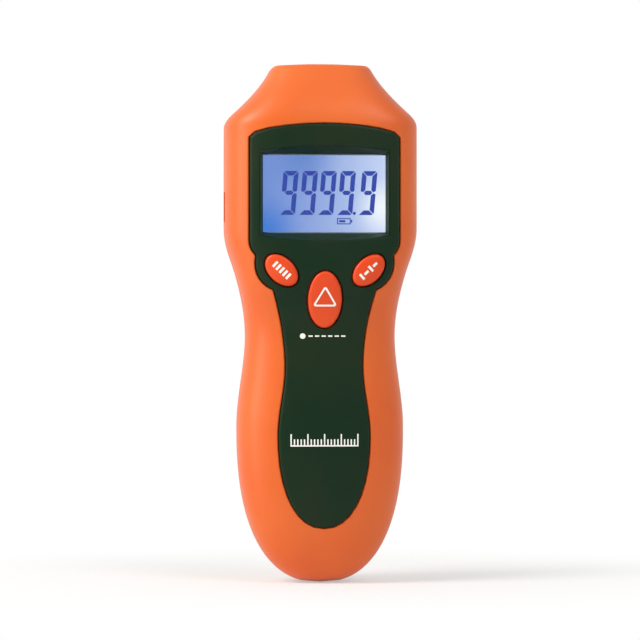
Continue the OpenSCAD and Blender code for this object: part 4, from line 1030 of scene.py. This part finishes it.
# Silicone loaded with carbon: black and dull.
carbon = moulded("carbon_loaded_silicone", "#1b1b1c", "#262627", 0.3, 0.004, 0.5, 0.08, 1.6)
dressed(carbon, "carbon_pill", "left_key_pill", "right_key_pill", "main_key_pill")

# Circuit boards
# Glass-fibre boards with green solder mask over copper tracks, which show as paler lines.
# The main board hangs on four posts; the small one under the optics carries the receiver.

# Solder mask over copper: a glossy green skin, with tracks that stand up slightly and look paler.
solder_mask, mask_tree, mask_shader, mask_at = surface(
    "solder_mask_over_copper", {"Roughness": 0.3, "IOR": 1.53})
mask_way = add(mask_tree, "ShaderNodeVectorRotate", {
    "Vector": mask_at, "Angle": math.radians(90)}, rotation_type="X_AXIS")
mask_cells = add(mask_tree, "ShaderNodeTexBrick", {
    "Vector": mask_way.outputs[0], "Scale": 1,
    "Mortar Size": 0.25 * MM, "Brick Width": 5.5 * MM, "Row Height": 1.3 * MM,
    "Color1": colour("#1f6b3a"), "Color2": colour("#22713e"), "Mortar": colour("#3f9a58")}).outputs
mask_bump = add(mask_tree, "ShaderNodeBump", {"Height": mask_cells["Fac"], "Distance": 0.03 * MM})
mask_tree.links.new(mask_cells["Color"], mask_shader.inputs["Base Color"])
mask_tree.links.new(mask_bump.outputs[0], mask_shader.inputs["Normal"])
dressed(solder_mask, "solder_mask", "main_board", "sensor_board")

# Parts on the main board
# The controller is a black epoxy package with tinned legs on four sides; beside it are a crystal in a drawn
# steel can, a capacitor in a shrunk sleeve, and two rows of chip resistors and capacitors.

# Black epoxy or nylon: matte, with a fine even grain.
black_moulding = moulded("black_moulding_matte", "#1b1b1c", "#242426", 0.4, 0.01, 0.5, 0.08, 1.55)
dressed(black_moulding, "black_moulding", "controller_chip", "optics_block", "photodiode", "battery_snap")


def metal(name, code, tarnished, scratch, rough, spread):
    """A metal surface with fine marks, scratch millimetres wide, and a faint tarnish."""
    material, tree, shader, place = surface(name, {"Metallic": 1})
    marks = add(tree, "ShaderNodeTexNoise", {"Vector": place, "Scale": per_metre(scratch), "Detail": 4})
    patches = add(tree, "ShaderNodeTexNoise", {"Vector": place, "Scale": per_metre(5), "Detail": 2})
    tone = add(tree, "ShaderNodeMix", {
        0: patches.outputs["Fac"], 6: colour(code), 7: colour(tarnished)}, data_type="RGBA")
    shine = add(tree, "ShaderNodeMapRange", {
        0: marks.outputs["Fac"], 1: calm, 2: rugged, 3: rough - spread, 4: rough + spread})
    bump = add(tree, "ShaderNodeBump", {"Height": marks.outputs["Fac"], "Distance": 0.004 * MM})
    tree.links.new(tone.outputs[2], shader.inputs["Base Color"])
    tree.links.new(shine.outputs[0], shader.inputs["Roughness"])
    tree.links.new(bump.outputs[0], shader.inputs["Normal"])
    return material


# Zinc plate on steel: bright grey with cloudy patches and blurred lights.
zinc = metal("zinc_plated_steel", "#c4c7ca", "#a9adb3", 0.5, 0.3, 0.08)
dressed(zinc, "steel", "crystal_can", "laser_diode", "battery_terminals")
# Shrunk sleeve: thin, glossy dark blue film.
sleeve = moulded("shrunk_sleeve_blue", "#26324f", "#2d3b5d", 3, 0.01, 0.28, 0.05, 1.53)
dressed(sleeve, "capacitor_sleeve", "smoothing_capacitor")
# Fired ceramic: tan, with fine darker specks.
ceramic = moulded("fired_ceramic", "#8a6f4d", "#a38a66", 0.25, 0.004, 0.45, 0.08, 1.7)
dressed(ceramic, "chip_ceramic", "chip_parts")

leg_tree, leg_in = copying_tree("chip legs", ("Reach", "Drop", "Width", "Thickness"))
leg_end = add(leg_tree, "ShaderNodeCombineXYZ", {"X": leg_in["Reach"]}).outputs[0]
leg_line = add(leg_tree, "GeometryNodeCurvePrimitiveLine", {"Start": (0, 0, 0), "End": leg_end})
leg_steps = add(leg_tree, "GeometryNodeResampleCurve", {"Curve": leg_line.outputs[0], "Count": 9})
# Each leg runs out, bends down to the board in its middle third, and runs out again.
leg_place = add(leg_tree, "GeometryNodeInputPosition").outputs[0]
leg_at = add(leg_tree, "ShaderNodeSeparateXYZ", {0: leg_place}).outputs
leg_run = add(leg_tree, "ShaderNodeMath", {0: leg_at["X"], 1: leg_in["Reach"]}, operation="DIVIDE")
leg_bend = add(leg_tree, "ShaderNodeMapRange", {
    0: leg_run.outputs[0], 1: 0.3, 2: 0.65, 3: 0, 4: leg_in["Drop"]}, interpolation_type="SMOOTHSTEP")
leg_down = add(leg_tree, "ShaderNodeMath", {0: leg_bend.outputs[0], 1: -1}, operation="MULTIPLY")
leg_curve = add(leg_tree, "GeometryNodeSetPosition", {
    "Geometry": leg_steps.outputs[0],
    "Offset": add(leg_tree, "ShaderNodeCombineXYZ", {"Y": leg_down.outputs[0]}).outputs[0]})
leg_profile = add(leg_tree, "GeometryNodeCurvePrimitiveQuadrilateral", {
    "Width": leg_in["Width"], "Height": leg_in["Thickness"]})
leg_normal = add(leg_tree, "GeometryNodeSetCurveNormal", {"Curve": leg_curve.outputs[0]}, mode="Z_UP")
leg_mesh = add(leg_tree, "GeometryNodeCurveToMesh", {
    "Curve": leg_normal.outputs[0], "Profile Curve": leg_profile.outputs[0], "Fill Caps": True})
leg_turn = add(leg_tree, "GeometryNodeInputNamedAttribute", {"Name": "turn"}, data_type="FLOAT")
leg_way = add(leg_tree, "ShaderNodeCombineXYZ", {"Y": leg_turn.outputs[0]})
set_on_points(leg_tree, leg_in, leg_mesh, Rotation=leg_way.outputs[0])
# Tinned copper: pale, slightly warm and satin.
tinned = metal("tinned_copper", "#cfcfca", "#b5b3ab", 0.3, 0.35, 0.08)
board_back_y = -7.3
chip_at = (0, 112)
chip_half = 6
chip_middle_y = board_back_y + 0.75
leg_places, leg_turns = [], []
for leg_side in range(4):
    leg_angle = leg_side * math.pi / 2
    for leg in range(13):
        offset = -4.8 + 0.8 * leg
        leg_places.append((
            chip_at[0] + chip_half * math.cos(leg_angle) - offset * math.sin(leg_angle), chip_middle_y,
            chip_at[1] + chip_half * math.sin(leg_angle) + offset * math.cos(leg_angle)))
        leg_turns.append(-leg_angle)
copies(
    "controller_legs", leg_tree, leg_places, {"Reach": 1.1, "Drop": 0.66, "Width": 0.35, "Thickness": 0.15},
    tinned, "body", leg_turns)

# Optics
# Behind a dark red acrylic window in the nose, a black block holds the brass barrel of the pointer with its
# lens and diode, and beside it the lens and photodiode that see the light come back.

# Dyed acrylic: nearly black red, smooth, and clear only to the light of the pointer.
smoked_pmma, smoke_tree, smoke_shader, smoke_at = surface("smoked_red_pmma", {
    "Roughness": 0.1, "IOR": 1.49, "Transmission Weight": 0.6, "Specular IOR Level": 0.3})
smoke_drift = add(smoke_tree, "ShaderNodeTexNoise", {"Vector": smoke_at, "Scale": per_metre(12)})
smoke_tone = add(smoke_tree, "ShaderNodeMix", {
    0: smoke_drift.outputs["Fac"], 6: colour("#4a0d12"), 7: colour("#3a090e")}, data_type="RGBA")
smoke_tree.links.new(smoke_tone.outputs[2], smoke_shader.inputs["Base Color"])
dressed(smoked_pmma, "smoked_pmma", "nose_window")
# Turned brass: yellow, with fine tool marks and duller patches.
turned_brass = metal("brass_turned", "#cda24a", "#b48a3c", 0.35, 0.26, 0.07)
dressed(turned_brass, "brass", "laser_barrel", "door_insert")
# Polyimide film: glossy amber.
film_amber = moulded("polyimide_film", "#c77a2c", "#b56a22", 2.5, 0.004, 0.28, 0.04, 1.7)
dressed(film_amber, "polyimide", "sensor_flex")
# Extruded PVC sheaths: smooth, with a dull gloss.
red_sheath = moulded("red_lead_sheath", "#b8322a", "#a82b25", 1.5, 0.004, 0.4, 0.05, 1.53)
dressed(red_sheath, "lead_sheath_red", "laser_leads")
black_sheath = moulded("black_lead_sheath", "#2a2a2c", "#333335", 1.5, 0.004, 0.4, 0.05, 1.53)
dressed(black_sheath, "lead_sheath_black", "battery_leads")

# Battery
# A nine-volt block in a printed steel jacket: a plain dark band below and a bare metal one above. A foam pad
# in the door keeps it still.

# Lacquered steel: a dull metal gloss under plain paint, with faint handling marks.
jacket, jacket_tree, jacket_shader, jacket_at = surface("printed_steel_jacket", {"Metallic": 0.6, "IOR": 1.5})
jacket_place = add(jacket_tree, "ShaderNodeSeparateXYZ", {0: jacket_at}).outputs
jacket_band = add(jacket_tree, "ShaderNodeMapRange", {
    0: jacket_place["Z"], 1: (52 - to_butt[2]) * MM, 2: (52.4 - to_butt[2]) * MM})
jacket_marks = add(jacket_tree, "ShaderNodeTexNoise", {
    "Vector": jacket_at, "Scale": per_metre(1.5), "Detail": 4})
jacket_tone = add(jacket_tree, "ShaderNodeMix", {
    0: jacket_band.outputs[0], 6: colour("#4c5157"), 7: colour("#a9afb6")}, data_type="RGBA")
jacket_shine = add(jacket_tree, "ShaderNodeMapRange", {0: jacket_marks.outputs["Fac"], 3: 0.25, 4: 0.42})
jacket_tree.links.new(jacket_tone.outputs[2], jacket_shader.inputs["Base Color"])
jacket_tree.links.new(jacket_shine.outputs[0], jacket_shader.inputs["Roughness"])
dressed(jacket, "battery_sleeve", "battery")
# Open-cell foam: dark grey and dull, with cells about 0.7 mm across.
foam, foam_tree, foam_shader, foam_at = surface("open_cell_foam", {"Roughness": 0.9, "IOR": 1.45})
foam_cells = add(foam_tree, "ShaderNodeTexVoronoi", {"Vector": foam_at, "Scale": per_metre(0.7)})
foam_tone = add(foam_tree, "ShaderNodeMix", {
    0: foam_cells.outputs["Distance"], 6: colour("#2d2d30"), 7: colour("#5a5a5e")}, data_type="RGBA")
foam_bump = add(foam_tree, "ShaderNodeBump", {
    "Height": foam_cells.outputs["Distance"], "Distance": 0.3 * MM})
foam_tree.links.new(foam_tone.outputs[2], foam_shader.inputs["Base Color"])
foam_tree.links.new(foam_bump.outputs[0], foam_shader.inputs["Normal"])
dressed(foam, "foam", "door_foam")

# Screws
# Zinc-plated screws with cross slots. Four hold the halves of the case together from behind, four the board,
# two the block of the optics and one the battery door.
dressed(zinc, "steel", "case_screws", "board_screws", "optics_screws", "door_screw")

# Tripod socket
# A turned brass insert pressed into the back, with a quarter-inch thread cut in it and a flange that meets a
# stand's top plate. The thread's crests are at the bore's wall and its roots lie in the brass.
crest_r = 2.55
root_r = 3.1
pitch = 1.27
socket_len = 7
insert_floor_t = 0.8
insert_r = 4.2
flange_r = 6
flange_t = 0.8
seat_y = 22.4
chamfer = 0.3
around = 64
insert_floor_y = seat_y - socket_len - insert_floor_t
lathe = [(insert_r - chamfer, insert_floor_y), (insert_r, insert_floor_y + chamfer),
         (insert_r, seat_y - flange_t), (flange_r, seat_y - flange_t), (flange_r, seat_y - chamfer),
         (flange_r - chamfer, seat_y), (root_r + chamfer, seat_y)]
thread_steps = 72
turn_share = np.arange(around) / around


def insert_ring(r, y):
    """A ring round the socket's axis, whose radius may differ from point to point."""
    turn = turn_share * 2 * np.pi
    return np.column_stack([
        socket_at[0] + r * np.cos(turn), np.full(around, y), socket_at[1] + r * np.sin(turn)])


insert_rings = [insert_ring(r, y) for r, y in lathe]
for step in range(thread_steps + 1):
    y = seat_y - chamfer - (socket_len - chamfer) * step / thread_steps
    phase = ((seat_y - y) / pitch + turn_share) % 1
    flank = 1 - np.abs(2 * phase - 1)
    fade = np.clip((y - seat_y + socket_len) / pitch, 0, 1)
    thread = np.clip(1.25 * flank - 0.1, 0, 1) * fade
    insert_rings.append(insert_ring(crest_r + (root_r - crest_r) * thread, y))
insert_ends = [(socket_at[0], y, socket_at[1]) for y in (insert_floor_y, seat_y - socket_len)]
insert_points, insert_faces = ring_stack(insert_rings, insert_ends)
# The rings run outward from the floor and back down the bore, so that the triangles have to be turned round.
mesh_piece(
    "tripod_insert_threaded", insert_points, insert_faces[:, ::-1], turned_brass, "body", ("tripod_insert",))

# Studio
# A pale floor under the case and soft light: a large lamp high on the left, a tall one beside the left rim
# and a weaker one on the right. To the camera and through glass the sky is white. As a light and in mirrored
# rays it is even, but darker behind the camera.
floor_reach = 6
floor_mesh = bpy.data.meshes.new("floor")
floor_z = cad_box[0][2]
floor_corners = [(x * floor_reach, y * floor_reach, floor_z) for x, y in ((-1, -1), (1, -1), (1, 1), (-1, 1))]
floor_mesh.from_pydata(floor_corners, [], [(0, 1, 2, 3)])
floor_paint, floor_tree, floor_shader, floor_at = surface("floor_paint", {
    "Base Color": colour("#f4f4f2"), "Roughness": 0.8})
floor_far = add(floor_tree, "ShaderNodeVectorMath", {0: floor_at, 1: (0, 0, floor_z)}, operation="DISTANCE")
floor_fade = add(floor_tree, "ShaderNodeMapRange", {
    0: floor_far.outputs["Value"], 1: 0.03, 2: 0.16, 3: 0.45, 4: 1}, interpolation_type="SMOOTHSTEP")
floor_path = add(floor_tree, "ShaderNodeLightPath").outputs
floor_seen = add(floor_tree, "ShaderNodeMath", {
    0: floor_path["Is Camera Ray"], 1: floor_path["Is Glossy Ray"]}, operation="MAXIMUM")
floor_seen = add(floor_tree, "ShaderNodeMath", {
    0: floor_seen.outputs[0], 1: floor_path["Is Transmission Ray"]}, operation="MAXIMUM")
floor_share = add(floor_tree, "ShaderNodeMath", {
    0: floor_fade.outputs[0], 1: floor_seen.outputs[0]}, operation="MULTIPLY")
floor_white = add(floor_tree, "ShaderNodeEmission", {"Color": (1, 1, 1, 1), "Strength": 1})
floor_mix = add(floor_tree, "ShaderNodeMixShader", {
    0: floor_share.outputs[0], 1: floor_shader.outputs[0], 2: floor_white.outputs[0]})
floor_tree.links.new(floor_mix.outputs[0], floor_tree.nodes["Material Output"].inputs["Surface"])
floor_mesh.materials.append(floor_paint)
floor = bpy.data.objects.new("floor", floor_mesh)
bpy.context.scene.collection.objects.link(floor)


def lamp(name, place, size, power, tint):
    """A large soft lamp that looks at the case; power is in watts."""
    data = bpy.data.lights.new(name, "AREA")
    data.shape = "RECTANGLE"
    data.size, data.size_y = size
    data.energy = power
    data.color = colour(tint)[:3]
    light = bpy.data.objects.new(name, data)
    light.location = place
    light.rotation_euler = (Vector(place) - camera_aim).to_track_quat("Z", "Y").to_euler()
    bpy.context.scene.collection.objects.link(light)


lamp("key_lamp", (-0.8, -0.5, 0.75), (0.5, 0.6), 9.5, "#fffaf4")
lamp("rim_lamp", (-1, -0.32, 0.25), (0.35, 0.9), 4.5, "#fffaf4")
lamp("fill_lamp", (0.5, -0.9, 0.7), (0.5, 0.6), 4.6, "#ffffff")
world = bpy.data.worlds.new("studio")
bpy.context.scene.world = world
world.use_nodes = True
sky = world.node_tree
sky_path = add(sky, "ShaderNodeLightPath").outputs
sky_way = add(sky, "ShaderNodeTexCoord").outputs["Generated"]
room_way = add(sky, "ShaderNodeVectorMath", {0: sky_way, 1: (0, -1, 0)}, operation="DOT_PRODUCT")
room = add(sky, "ShaderNodeMapRange", {
    0: room_way.outputs["Value"], 1: 0.35, 2: 0.9}, interpolation_type="SMOOTHSTEP").outputs[0]
gloss_level = add(sky, "ShaderNodeMapRange", {0: room, 3: 1, 4: 0.12}).outputs[0]
light_level = add(sky, "ShaderNodeMapRange", {0: room, 3: 0.42, 4: 0.22}).outputs[0]
seen = add(sky, "ShaderNodeMath", {
    0: sky_path["Is Camera Ray"], 1: sky_path["Is Transmission Ray"]}, operation="MAXIMUM").outputs[0]
level = add(sky, "ShaderNodeMix", {0: sky_path["Is Glossy Ray"], 2: light_level, 3: gloss_level}).outputs[0]
level = add(sky, "ShaderNodeMix", {0: seen, 2: level, 3: 1}).outputs[0]
sky_light = sky.nodes["Background"]
sky_light.inputs["Color"].default_value = (1, 1, 1, 1)
sky.links.new(level, sky_light.inputs["Strength"])
bpy.context.scene.view_settings.view_transform = "Standard"
